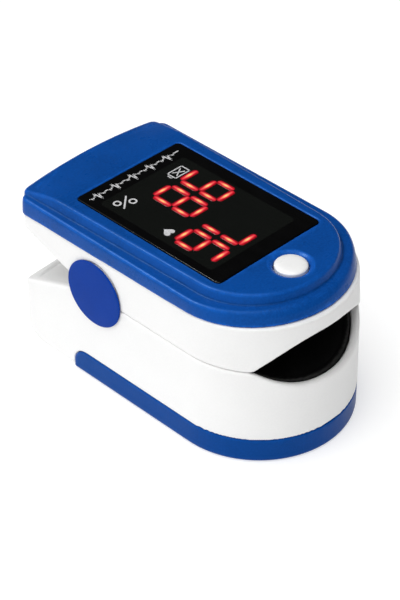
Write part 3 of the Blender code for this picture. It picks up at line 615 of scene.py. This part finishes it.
def annulus(centre, radius, width, steps=40):
    """A thin flat ring on the window."""
    points, faces = [], []
    top = GLASS + PRINT_HEIGHT
    section = ((-0.5, top - 0.08), (-0.5, top), (0.5, top), (0.5, top - 0.08))
    for k in range(steps):
        angle = 2 * math.pi * k / steps
        for out, z in section:
            reach = radius + out * width
            points.append((centre[0] + reach * math.cos(angle),
                           centre[1] + reach * math.sin(angle), z))
            j = len(points) - 1
            after = j + 1 if j % 4 < 3 else j - 3
            faces.append((j, after, (after + 4) % (4 * steps), (j + 4) % (4 * steps)))
    return points, faces


def drawn(name, middle, lines, width, circles=()):
    """White print made of round-ended lines and rings, each placed from the mark's middle."""
    def moved(point):
        return middle[0] + point[0], middle[1] + point[1]

    parts = []
    for line in lines:
        for start, end in zip(line, line[1:]):
            parts.append(plate(stroke(moved(start), moved(end), width), PRINT_HEIGHT))
    for centre, radius in circles:
        parts.append(annulus(moved(centre), radius, width))
    return crisp(joined(name, parts))


# Millimetres in the shared frame. Read with the button at the top, a line of marks starts at +X.
DIGIT_WIDTH = 4.5
PULSE_ROWS = (-10.15, -5.9, -1.55)  # Y of the upper, middle and lower bars
OXYGEN_ROWS = (1.4, 5.75, 10.35)
PANEL_HALF_WIDTH, PANEL_X, PANEL_Y = 10.2, -0.45, (-11.9, 15.2)
BATTERY_AT, BATTERY_HALF = (5.7, 12.4), (1.75, 1.0)
PERCENT_AT = (-7.35, 12.35)
HEART_AT, HEART_SIZE = (-8.15, 0.85), 2.1
TRACE_Y, TRACE_ENDS = 17.25, (10.35, -11.05)
BEAT_START, BEAT_LENGTH = 9.75, 4.18
SEGMENTS = {"a": ((0, 0), (1, 0)), "b": ((1, 0), (1, 1)), "c": ((1, 1), (1, 2)),
            "d": ((0, 2), (1, 2)), "e": ((0, 1), (0, 2)), "f": ((0, 0), (0, 1)),
            "g": ((0, 1), (1, 1))}
DIGITS = {"6": "acdefg", "7": "abc", "8": "abcdefg", "9": "abcdfg"}


def lit_digits(name, rows, digits):
    """Seven-segment digits, each (digit, the X it starts at); a bar glows most in its middle."""
    parts, glow = [], []
    along_steps, across_steps, width, height = 16, 8, 1.28, 0.06
    for digit, start_x in digits:
        for letter in DIGITS[digit]:
            ends = [Vector((start_x - DIGIT_WIDTH * column, rows[row], 0))
                    for column, row in SEGMENTS[letter]]
            direction = (ends[1] - ends[0]).normalized()
            side = Vector((-direction.y, direction.x, 0))
            start, end = ends[0] + direction * 0.24, ends[1] - direction * 0.24
            rings = []
            for i in range(along_steps + 1):
                u = math.cos(math.pi * (1 - i / along_steps))  # -1 to 1, close together at the ends
                end_part = max((abs(u) - 0.72) / 0.28, 0)
                half = max(width / 2 * math.sqrt(max(1 - end_part ** 2, 0)), 0.03)
                middle = start + (end - start) * (u + 1) / 2
                ring = []
                for j in range(across_steps + 1):
                    v = 2 * j / across_steps - 1
                    point = middle + side * half * v
                    rise = height * (1 - v * v) * (1 - end_part ** 2)
                    ring.append((point.x, point.y, GLASS + PANEL_HEIGHT + rise))
                    core = math.exp(-(v / 0.55) ** 2) * (half / (width / 2))
                    glow.append(core * (0.42 + 0.58 * math.exp(-(u / 0.42) ** 2)))
                for v in (1, -1):
                    point = middle + side * half * v
                    ring.append((point.x, point.y, GLASS - SUNK))
                    glow.append(0.0)
                rings.append(ring)
            parts.append(rings_mesh(rings))
    obj = joined(name, parts)
    obj.data.attributes.new("glow", "FLOAT", "POINT").data.foreach_set("value", glow)
    return obj


def heart(middle, size):
    points = []
    for k in range(40):
        t = 2 * math.pi * k / 40
        x = 16 * math.sin(t) ** 3
        y = 13 * math.cos(t) - 5 * math.cos(2 * t) - 2 * math.cos(3 * t) - math.cos(4 * t)
        points.append((middle[0] - x * size / 32, middle[1] - y * size / 30))
    return points


def pulse_trace():
    """Five alike beats on a straight line, each a small wave, a spike and a small wave."""
    trace = [(TRACE_ENDS[0], 0)]
    for beat in range(5):
        start_x = BEAT_START - beat * BEAT_LENGTH
        for across_by, rise in ((0.65, 0), (0.9, 0.4), (1.3, 0), (1.65, 0), (1.85, -0.4), (2.2, 1.3),
                                (2.55, -0.9), (2.8, 0), (3.25, 0), (3.6, 0.5), (3.95, 0)):
            trace.append((start_x - across_by, -rise))
    return trace + [(TRACE_ENDS[1], 0)]


def display_marks():
    """The lit digits, the icons and the dark panel behind them."""
    plan = [(x + PANEL_X, y) for x, y in rounded_rectangle(PANEL_HALF_WIDTH, PANEL_Y, 0.8, 8)]
    panel = crisp(joined("display_panel", [plate(plan, PANEL_HEIGHT)]))
    pulse = lit_digits("pulse_digits", PULSE_ROWS, [("7", 2.0), ("6", -4.55)])
    oxygen = lit_digits("spo2_digits", OXYGEN_ROWS, [("9", 8.6), ("8", 1.95)])
    w, h = BATTERY_HALF
    battery = drawn("battery_icon", BATTERY_AT, [
        [(w, -h), (-w, -h), (-w, h), (w, h), (w, -h)],
        [(0.95, -0.55), (-0.95, 0.55)], [(0.95, 0.55), (-0.95, -0.55)],
        [(-2.05, -0.45), (-2.25, -0.45), (-2.25, 0.45), (-2.05, 0.45)]], 0.24)
    percent = drawn("percent_icon", PERCENT_AT, [[(-1.35, -1.2), (1.35, 1.2)]], 0.32,
                    circles=[((1.2, -0.7), 0.62), ((-1.2, 0.7), 0.62)])
    beat = crisp(joined("heart_icon", [plate(heart(HEART_AT, HEART_SIZE), PRINT_HEIGHT)]))
    wave = drawn("pulse_trace_print", (0, TRACE_Y), [pulse_trace()], 0.26)
    return panel, pulse, oxygen, battery, percent, beat, wave


def wire(points, radius, steps=14):
    """Round wire through the points, as (points, faces)."""
    path = [Vector(p) for p in points]
    rings = []
    normal = None
    for index, point in enumerate(path):
        tangent = (path[min(index + 1, len(path) - 1)] - path[max(index - 1, 0)]).normalized()
        if normal is None:
            normal = tangent.orthogonal().normalized()
        normal = (normal - tangent * normal.dot(tangent)).normalized()
        other = tangent.cross(normal)
        rings.append([tuple(point + radius * (math.cos(a) * normal + math.sin(a) * other))
                      for a in (2 * math.pi * k / steps for k in range(steps))])
    return rings_mesh(rings)


def return_spring(name, sign):
    """Torsion spring round the hinge pin: four turns, and one leg on each tail."""
    turns, steps, coil, pitch, start_x = 4, 40, 2.75, 1.15, 5.6
    points = [(sign * start_x, y, z) for y, z in ((15.4, 18.05), (13.5, 18.08), (11.4, 18.12))]
    for step in range(turns * steps + steps * 3 // 4 + 1):
        angle = -math.pi / 2 - 2 * math.pi * step / steps
        x = start_x + pitch * step / steps
        points.append((sign * x, HINGE_Y + coil * math.cos(angle), HINGE_Z + coil * math.sin(angle)))
    last = points[-1][0]
    points += [(last, y, z) for y, z in ((12.3, 21.0), (13.0, 21.15), (14.2, 21.2), (15.4, 21.25))]
    return joined(name, [wire(points, 0.4)])


def flex_cable():
    """Flat cable: along the deck, up in front of the hinge pin, and under the main board."""
    low, high = 13.62, 27.35
    path = curve(((-4.2, low), (-1.0, low), (0.0, low), (1.5, low)), 8)
    path += curve(((1.5, low), (7.0, low), (5.2, 17.0), (5.4, 20.5)), 28)[1:]
    path += curve(((5.4, 20.5), (5.6, 25.0), (4.6, high), (9.0, high)), 28)[1:]
    top = ((-2.5, 0.06), (-2.4, 0.12), (-0.8, 0.12), (0.8, 0.12), (2.4, 0.12), (2.5, 0.06))
    section = top + tuple((-x, -side) for x, side in top)
    rings = []
    for index, (y, z) in enumerate(path):
        ahead, behind = path[min(index + 1, len(path) - 1)], path[max(index - 1, 0)]
        along = Vector((ahead[0] - behind[0], ahead[1] - behind[1])).normalized()
        normal = (-along.y, along.x)
        rings.append([(x, y + normal[0] * side, z + normal[1] * side) for x, side in section])
    return joined("flex_cable_strip", [rings_mesh(rings)])


# ---- materials

class Nodes:
    """Makes and links the nodes of a tree."""

    def __init__(self, tree):
        self.tree = tree

    def feed(self, socket, value):
        """Sets a socket, or links it if the value is another node's output."""
        if isinstance(value, bpy.types.NodeSocket):
            self.tree.links.new(value, socket)
        else:
            socket.default_value = value

    def node(self, kind, inputs, **settings):
        made = self.tree.nodes.new("ShaderNode" + kind)
        for key, value in settings.items():
            setattr(made, key, value)
        for key, value in inputs.items():
            self.feed(made.inputs[key], value)
        return made

    def range(self, value, low, high, to_low=0, to_high=1, **settings):
        return self.node("MapRange", {"Value": value, "From Min": low, "From Max": high,
                                      "To Min": to_low, "To Max": to_high}, **settings).outputs[0]


class Paint(Nodes):
    """A node material; its textures use the object's own coordinates, in metres."""

    def __init__(self, name):
        self.material = bpy.data.materials.new(name)
        self.material.use_nodes = True
        super().__init__(self.material.node_tree)
        self.shader = self.tree.nodes["Principled BSDF"]
        self.place = self.node("TexCoord", {}).outputs["Object"]

    def set(self, **values):
        for key, value in values.items():
            self.feed(self.shader.inputs[key.replace("_", " ")], value)

    def stretched(self, scale):
        return self.node("Mapping", {"Vector": self.place, "Scale": scale}).outputs[0]

    def noise(self, scale, detail=3.0, roughness=0.55, place=None):
        """Noise whose patches are about scale millimetres wide."""
        return self.node("TexNoise", {"Vector": place or self.place, "Scale": 1000 / scale,
                                      "Detail": detail, "Roughness": roughness}).outputs["Fac"]

    def cells(self, scale):
        return self.node("TexVoronoi", {"Vector": self.place, "Scale": 1000 / scale},
                         feature="F1").outputs["Distance"]

    def math(self, operation, a, b=0.0):
        return self.node("Math", {0: a, 1: b}, operation=operation).outputs[0]

    def mix(self, share, a, b):
        return self.node("Mix", {0: share, 6: a, 7: b}, data_type="RGBA").outputs[2]

    def attribute(self, name):
        return self.node("Attribute", {}, attribute_name=name).outputs["Fac"]

    def bump(self, height, depth, before=None):
        """Relief of about depth millimetres."""
        inputs = {"Height": height, "Distance": depth * MM, "Strength": 1.0}
        if before is not None:
            inputs["Normal"] = before
        return self.node("Bump", inputs).outputs[0]


def shade(colour, factor):
    return (*[min(c * factor, 1.0) for c in colour], 1.0)


def plastic(name, colour, roughness, grain=0.35, relief=0.004, vary=0.06, edge_highlight_gain=1.5, crease_shade_factor=0.8,
            specular=0.5, tint=(1.0, 1.0, 1.0, 1.0), scratch=0.1):
    """Moulded plastic: satin grain, mottling, hair scratches, painted highlights on rubbed edges,
    painted crease shade.
    """
    p = Paint(name)
    p.set(Specular_IOR_Level=specular, Specular_Tint=tint)
    broad = p.range(p.noise(9.0, 2.0), 0.3, 0.7)
    fine = p.noise(grain, 2.0, 0.6)
    speck = p.range(fine, 0.35, 0.7)
    body = p.mix(broad, shade(colour, 1 - vary), shade(colour, 1 + vary))
    body = p.mix(p.math("MULTIPLY", speck, 0.6), body, shade(colour, 1 + 3 * vary))
    edge = p.attribute("edge")
    broken = p.range(p.noise(1.4, 4.0), 0.35, 0.65, 0.35, 1.0)
    # Convex edges get a lighter colour, which is a painted highlight, and a lower roughness from
    # rubbing.
    edge_wear_and_highlight = p.math("MULTIPLY", p.range(edge, 0.45, 1.6, 0, 0.75), broken)
    body = p.mix(edge_wear_and_highlight, body, shade([c * edge_highlight_gain + 0.004 for c in colour], 1))
    # Concave creases and corners get a darker colour, which is painted shade.
    patches = p.range(p.noise(0.8, 3.0), 0.3, 0.7, 0.4, 1)
    crease_shade = p.math("MULTIPLY", p.range(edge, -0.3, -1.3, 0, 0.8), patches)
    p.set(Base_Color=p.mix(crease_shade, body, shade(colour, crease_shade_factor)))
    hair = p.noise(0.5, 2.0, 0.5, p.stretched((0.06, 1.0, 1.0)))
    scratches = p.range(hair, 0.66, 0.72, 0, scratch)
    rough = p.range(p.noise(3.5, 4.0), 0.3, 0.7, roughness - 0.05, roughness + 0.06)
    rough = p.math("ADD", p.math("ADD", rough, p.math("MULTIPLY", edge_wear_and_highlight, -0.12)), scratches)
    p.set(Roughness=rough)
    p.set(Normal=p.bump(fine, relief, p.bump(p.noise(6.0, 1.0), 0.006)))
    return p.material


def metal(name, colour, roughness, brush=(1.0, 0.05, 1.0)):
    """Bare metal with brushing, small pits and faint staining."""
    p = Paint(name)
    p.set(Metallic=1.0, Anisotropic=0.4)
    lines = p.noise(0.12, 3.0, 0.6, p.stretched(brush))
    stains = p.range(p.noise(1.6, 4.0), 0.42, 0.72, 0, 0.7)
    body = p.mix(p.range(lines, 0.3, 0.7), shade(colour, 0.88), shade(colour, 1.08))
    p.set(Base_Color=p.mix(stains, body, shade(colour, 0.75)))
    rough = p.range(lines, 0.3, 0.7, roughness - 0.06, roughness + 0.08)
    p.set(Roughness=p.math("ADD", rough, p.math("MULTIPLY", stains, 0.15)))
    pits = p.range(p.cells(0.35), 0.0, 0.12, 1, 0)
    p.set(Normal=p.bump(lines, 0.004, p.bump(pits, -0.002)))
    return p.material


def silicone():
    """Soft black rubber: matt, finely grained, with pale dust and a painted highlight along its rims.
    """
    p = Paint("pad_silicone")
    p.set(Specular_IOR_Level=0.22)
    grain = p.cells(0.22)
    cloud = p.range(p.noise(4.0, 4.0), 0.35, 0.7)
    body = p.mix(cloud, (0.002, 0.002, 0.0021, 1), (0.004, 0.004, 0.0042, 1))
    lint = p.range(p.noise(0.3, 2.0), 0.72, 0.8, 0, 0.1)
    # Lighter grey along convex rims is a painted highlight.
    edge = p.range(p.attribute("edge"), 0.35, 1.3, 0, 0.7)
    body = p.mix(edge, p.mix(lint, body, (0.05, 0.05, 0.05, 1)), (0.03, 0.03, 0.029, 1))
    p.set(Base_Color=body)
    p.set(Roughness=p.range(p.noise(1.2, 3.0), 0.3, 0.7, 0.42, 0.6))
    p.set(Normal=p.bump(grain, 0.008, p.bump(p.noise(2.5, 2.0), 0.01)))
    return p.material


def acrylic():
    """Black glossy window with the faintest smears."""
    p = Paint("window_acrylic")
    p.set(Specular_IOR_Level=0.22)
    smear = p.noise(2.2, 5.0, 0.6, p.stretched((1.0, 0.35, 1.0)))
    p.set(Base_Color=p.mix(p.range(smear, 0.45, 0.75), (0.0006, 0.0006, 0.0007, 1),
                           (0.0016, 0.0016, 0.0018, 1)))
    hairs = p.range(p.noise(0.35, 2.0, 0.5, p.stretched((1.0, 0.05, 1.0))), 0.7, 0.74, 0, 0.12)
    p.set(Roughness=p.math("ADD", p.range(smear, 0.35, 0.75, 0.03, 0.07), hairs))
    p.set(Normal=p.bump(p.noise(7.0, 1.0), 0.003))
    return p.material


def panel():
    """Smoked panel behind the lit digits, with the faint grid of its filter."""
    p = Paint("smoked_panel")
    p.set(Specular_IOR_Level=0.3)
    mesh = p.cells(0.16)
    body = p.mix(p.range(mesh, 0.0, 0.6), (0.0022, 0.0028, 0.0023, 1), (0.0034, 0.0042, 0.0035, 1))
    p.set(Base_Color=p.mix(p.range(p.noise(5.0), 0.4, 0.7, 0, 0.5), body, (0.0042, 0.005, 0.0042, 1)))
    p.set(Roughness=p.range(p.noise(2.2, 4.0), 0.35, 0.7, 0.06, 0.14))
    return p.material


def led_glow():
    """Lit bar: deep red at its rim, through pink and orange, to yellow in the middle."""
    p = Paint("led_red_glow")
    glow = p.math("ADD", p.attribute("glow"), p.range(p.noise(0.25, 3.0), 0.3, 0.7, -0.05, 0.05))
    ramp = p.node("ValToRGB", {"Fac": glow})
    stops = ramp.color_ramp.elements
    stops[0].position, stops[0].color = 0.0, (0.16, 0.001, 0.005, 1)
    stops[1].position, stops[1].color = 1.0, (1.0, 0.74, 0.26, 1)
    for position, colour in ((0.14, (0.4, 0.004, 0.014, 1)), (0.34, (0.7, 0.022, 0.04, 1)),
                             (0.52, (0.84, 0.12, 0.11, 1)), (0.76, (0.97, 0.4, 0.14, 1))):
        stops.new(position).color = colour
    p.set(Base_Color=p.mix(0.9, ramp.outputs["Color"], (0.02, 0.0, 0.0, 1)))
    p.set(Emission_Color=ramp.outputs["Color"], Roughness=0.2, Specular_IOR_Level=0.2,
          Emission_Strength=1.0)
    return p.material


def print_ink():
    """White screen print, a little broken at its edges."""
    p = Paint("white_print")
    soft = p.noise(0.12, 3.0)
    p.set(Base_Color=p.mix(p.range(soft, 0.38, 0.62), (0.42, 0.42, 0.43, 1), (0.72, 0.72, 0.73, 1)))
    p.set(Roughness=p.range(p.noise(0.5), 0.3, 0.7, 0.4, 0.6))
    p.set(Normal=p.bump(soft, 0.003))
    return p.material


def circuit():
    """Green circuit board with traces, pads and vias."""
    p = Paint("board_green_mask")
    traces = p.node("TexBrick", {"Vector": p.place, "Scale": 260.0,
                                 "Mortar Size": 0.035}).outputs["Fac"]
    weave = p.noise(0.18, 2.0)
    green = p.mix(p.range(weave, 0.3, 0.7), (0.006, 0.09, 0.035, 1), (0.012, 0.13, 0.05, 1))
    body = p.mix(p.math("MULTIPLY", traces, 0.75), green, (0.03, 0.24, 0.09, 1))
    pads = p.range(p.cells(1.5), 0.13, 0.16, 1, 0)
    p.set(Base_Color=p.mix(pads, body, (0.72, 0.7, 0.62, 1)))
    p.set(Metallic=p.math("MULTIPLY", pads, 0.9))
    p.set(Roughness=p.range(weave, 0.3, 0.7, 0.28, 0.42))
    p.set(Normal=p.bump(p.math("ADD", traces, pads), 0.03))
    return p.material


def chip():
    p = Paint("chip_epoxy")
    fine = p.noise(0.1, 3.0)
    body = p.mix(p.range(fine, 0.3, 0.7), (0.011, 0.011, 0.012, 1), (0.022, 0.022, 0.024, 1))
    dot = p.range(p.cells(2.4), 0.1, 0.13, 0.5, 0)
    p.set(Base_Color=p.mix(dot, body, (0.06, 0.06, 0.062, 1)))
    p.set(Roughness=p.range(fine, 0.3, 0.7, 0.45, 0.62))
    p.set(Normal=p.bump(fine, 0.006))
    return p.material


def clear_window(name, colour):
    """Tinted optical window with faint flow lines."""
    p = Paint(name)
    p.set(Transmission_Weight=0.55, IOR=1.45)
    flow = p.noise(1.2, 4.0, 0.6, p.stretched((1.0, 0.4, 1.0)))
    p.set(Base_Color=p.mix(p.range(flow, 0.35, 0.7), shade(colour, 0.85), shade(colour, 1.15)))
    p.set(Roughness=p.range(flow, 0.35, 0.7, 0.06, 0.16))
    p.set(Normal=p.bump(flow, 0.01))
    return p.material


def cell_sleeve():
    """Shrink sleeve of a cell: two-colour bands along its length and bare metal at its ends."""
    p = Paint("cell_sleeve")
    y = p.node("SeparateXYZ", {"Vector": p.place}).outputs["Y"]
    wobble = p.math("ADD", y, p.range(p.noise(1.0), 0.3, 0.7, -0.00004, 0.00004))
    gold = p.range(wobble, 0.0098, 0.0099)
    body = p.mix(gold, (0.012, 0.06, 0.045, 1), (0.45, 0.24, 0.07, 1))
    line = p.math("LESS_THAN", p.math("ABSOLUTE", p.math("SUBTRACT", wobble, 0.0092)), 0.0003)
    body = p.mix(line, body, (0.75, 0.75, 0.72, 1))
    ends = p.math("GREATER_THAN", p.math("ABSOLUTE", p.math("ADD", wobble, 0.00005)), 0.0215)
    scuff = p.range(p.noise(0.6, 5.0), 0.62, 0.75, 0, 0.5)
    body = p.mix(scuff, body, (0.35, 0.36, 0.34, 1))
    p.set(Base_Color=p.mix(ends, body, (0.62, 0.62, 0.61, 1)))
    p.set(Metallic=ends)
    satin = p.range(p.noise(2.0, 3.0), 0.3, 0.7, 0.2, 0.32)
    p.set(Roughness=p.math("ADD", satin, p.math("MULTIPLY", scuff, 0.3)))
    p.set(Normal=p.bump(p.noise(2.5, 3.0), 0.012))
    return p.material


def flex_film():
    """Amber polyimide with copper tracks along it."""
    p = Paint("flex_film")
    x = p.node("SeparateXYZ", {"Vector": p.place}).outputs["X"]
    tracks = p.range(p.math("SINE", p.math("MULTIPLY", x, 8400.0)), -0.1, 0.25)
    body = p.mix(tracks, (0.42, 0.16, 0.02, 1), (0.62, 0.28, 0.06, 1))
    p.set(Base_Color=p.mix(p.range(p.noise(1.5), 0.35, 0.7, 0, 0.5), body, (0.33, 0.12, 0.015, 1)))
    p.set(Roughness=p.range(p.noise(0.7, 3.0), 0.3, 0.7, 0.25, 0.4))
    p.set(Normal=p.bump(tracks, 0.02))
    return p.material


def floor_material():
    p = Paint("studio_floor")
    cloud = p.noise(60.0, 2.0)
    p.set(Base_Color=p.mix(cloud, (0.58, 0.58, 0.58, 1), (0.62, 0.62, 0.62, 1)))
    p.set(Roughness=0.7, Specular_IOR_Level=0.0, Emission_Color=(1, 1, 1, 1), Emission_Strength=0.5)
    return p.material


BLUE_TINT = (0.3, 0.6, 1.0, 1.0)
BLUE = plastic("blue_plastic_satin", (0.0026, 0.055, 0.262), 0.3, grain=0.4, relief=0.018,
               vary=0.13, edge_highlight_gain=2.1, crease_shade_factor=0.5, specular=0.14, tint=BLUE_TINT)
# The battery cover is the same blue plastic, made darker as painted shade.
SHADED_BASE_BLUE = plastic("base_blue_painted_shade", (0.0012, 0.046, 0.225), 0.36, relief=0.01, edge_highlight_gain=1.4,
                    specular=0.08, tint=BLUE_TINT)
CAP_BLUE = plastic("cap_blue_satin", (0.0022, 0.035, 0.26), 0.42, grain=0.25, relief=0.003,
                   edge_highlight_gain=1.6, specular=0.06, tint=BLUE_TINT)
WHITE = plastic("white_plastic_satin", (0.8, 0.8, 0.795), 0.38, relief=0.0025, vary=0.012,
                edge_highlight_gain=1.04, specular=0.3, scratch=0.06)
BUTTON_WHITE = plastic("button_white_gloss", (0.88, 0.88, 0.875), 0.28, relief=0.0012,
                       vary=0.01, edge_highlight_gain=1.02)
FRAME_BLACK = plastic("frame_black", (0.018, 0.018, 0.02), 0.45, grain=0.3, relief=0.006,
                      vary=0.2, edge_highlight_gain=3)
SILICONE, LENS, PANEL, GLOW, INK = silicone(), acrylic(), panel(), led_glow(), print_ink()
BOARD, CHIP, SLEEVE, FILM = circuit(), chip(), cell_sleeve(), flex_film()
RED_WINDOW = clear_window("window_red_tint", (0.32, 0.06, 0.05))
AMBER = clear_window("emitter_resin", (0.75, 0.5, 0.3))
SPRING = metal("spring_wire", (0.62, 0.61, 0.58), 0.26)
SCREW = metal("screw_blackened", (0.2, 0.2, 0.21), 0.36, brush=(1, 1, 1))
PIN = metal("pin_ground", (0.56, 0.56, 0.57), 0.24, brush=(0.05, 1, 1))
CAN = metal("can_nickel", (0.66, 0.66, 0.66), 0.3)


def dress(obj, paint):
    obj.data.materials.clear()
    obj.data.materials.append(paint)
    return obj


SIDES = (("left", -1), ("right", 1))


def place(obj, body, paint, slot, *nodes):
    """Gives a new piece its material and body, and hides the CAD nodes that it stands for; slot is
    not used.
    """
    dress(obj, paint)
    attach(obj, body)
    if nodes:
        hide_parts(*nodes)


place(lower_shell(), "lower_jaw", WHITE, "white_plastic", "lower_shell")
place(lower_finger_pad(), "lower_jaw", SILICONE, "black_silicone", "lower_finger_pad")
place(battery_cover(), "battery_cover", SHADED_BASE_BLUE, "blue_plastic", "battery_cover")
place(upper_shell(), "upper_jaw", WHITE, "white_plastic", "upper_shell")
place(top_cover(), "upper_jaw", BLUE, "blue_plastic", "top_cover")
place(upper_finger_pad(), "upper_jaw", SILICONE, "black_silicone", "upper_finger_pad")
place(display_window(), "upper_jaw", LENS, "black_acrylic", "display_window")
place(power_button(), "power_button", BUTTON_WHITE, "white_plastic", "power_button")
for side_name, side_sign in SIDES:
    place(hinge_cap(f"hinge_cap_{side_name}_disc", side_sign), "lower_jaw", CAP_BLUE, "cap_blue",
          f"hinge_cap_{side_name}")
for mark, paint in zip(display_marks(), (PANEL, GLOW, GLOW, INK, INK, INK, INK)):
    place(mark, "upper_jaw", paint, "black_acrylic")

# The springs and the flat cable cross the hinge, so they turn smoothly from one jaw to the other.
for side_name, side_sign in SIDES:
    spring = dress(return_spring(f"return_spring_{side_name}_wire", side_sign), SPRING)
    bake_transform(spring)
    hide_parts(f"return_spring_{side_name}")
strip = dress(flex_cable(), FILM)
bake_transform(strip)
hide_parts("flex_cable")

KEPT = {"lower_frame": FRAME_BLACK, "sensor_window": RED_WINDOW, "photodiode": CHIP,
        "sensor_board": BOARD, "contact_bridge": SPRING, "hinge_pin": PIN, "main_board": BOARD,
        "pulse_display": FRAME_BLACK, "spo2_display": FRAME_BLACK, "microcontroller": CHIP,
        "crystal": CAN, "tact_switch": CAN, "emitter_led": AMBER, "emitter_window": RED_WINDOW}
for side_name, _ in SIDES:
    KEPT |= {f"battery_{side_name}": SLEEVE, f"battery_spring_{side_name}": SPRING}
    KEPT |= {f"{screw}_screw_{side_name}": SCREW for screw in ("frame", "board", "cover")}
for node_name, paint in KEPT.items():
    node = NODES[node_name]
    for material_slot in node.material_slots:
        material_slot.material = paint
    weld = node.modifiers.new("weld", "WELD")
    weld.merge_threshold = 0.001 * MM
    if "spring" not in node_name:
        soften = node.modifiers.new("soften", "BEVEL")
        soften.width, soften.segments = 0.08 * MM, 2
        soften.limit_method, soften.angle_limit = "ANGLE", math.radians(40)
    node.modifiers.new("weigh", "WEIGHTED_NORMAL")

# ---- stage, light and camera

FLOOR_GAP = 0.00003  # it lies this much below the feet, in metres
floor_mesh = bpy.data.meshes.new("studio_floor")
floor_corners = [(x, y, -FLOOR_GAP) for x, y in ((-4, -4), (4, -4), (4, 4), (-4, 4))]
floor_mesh.from_pydata(floor_corners, [], [(0, 1, 2, 3)])
floor = in_scene("studio_floor", floor_mesh)
dress(floor, floor_material())

world = bpy.data.worlds.new("studio")
world.use_nodes = True
sky = Nodes(world.node_tree)
towards = sky.node("TexCoord", {}).outputs["Generated"]
facing = sky.node("VectorMath", {0: towards, 1: (-0.8, 0.1, 0.59)}, operation="DOT_PRODUCT")
brightness = sky.range(facing.outputs["Value"], 0.1, 0.8, 0.06, 1.15, interpolation_type="SMOOTHSTEP")
background = world.node_tree.nodes["Background"].inputs
sky.feed(background["Strength"], brightness)
sky.feed(background["Color"], (1, 1, 1, 1))
bpy.context.scene.world = world


def soft_light(name, towards, share, angle, gloss_only=False):
    """A distant soft light; share is how white it makes a surface that faces it."""
    data = bpy.data.lights.new(name, "SUN")
    data.energy, data.angle = math.pi * share, math.radians(angle)
    lamp = in_scene(name, data)
    lamp.visible_diffuse = not gloss_only
    lamp.rotation_mode = "QUATERNION"
    lamp.rotation_quaternion = Vector(towards).to_track_quat("Z", "Y")


soft_light("key_light", (-0.2, 0.0, 0.98), 0.42, 50)
soft_light("edge_light", (-0.3, 0.45, 0.84), 0.9, 18, gloss_only=True)

azimuth, elevation, roll = math.radians(-45.307), math.radians(37.858), math.radians(0.213)
back = Vector((math.sin(azimuth) * math.cos(elevation), -math.cos(azimuth) * math.cos(elevation),
               math.sin(elevation)))
right = Vector((0, 0, 1)).cross(back).normalized()
up = back.cross(right)
camera_data = bpy.data.cameras.new("camera")
camera_data.sensor_width, camera_data.lens = 36.0, 122.844
camera_data.clip_start, camera_data.clip_end = 0.01, 20.0
CAMERA_TARGET, CAMERA_DISTANCE = (-2.904, -1.55, 16.74), 358.58
camera = in_scene("camera", camera_data)
across_axis = right * math.cos(roll) + up * math.sin(roll)
up_axis = up * math.cos(roll) - right * math.sin(roll)
camera.rotation_mode = "QUATERNION"
camera.rotation_quaternion = Matrix((across_axis, up_axis, back)).transposed().to_quaternion()
camera.location = (Vector(CAMERA_TARGET) + back * CAMERA_DISTANCE) * MM
bpy.context.scene.camera = camera
bpy.context.scene.view_settings.view_transform = "Standard"
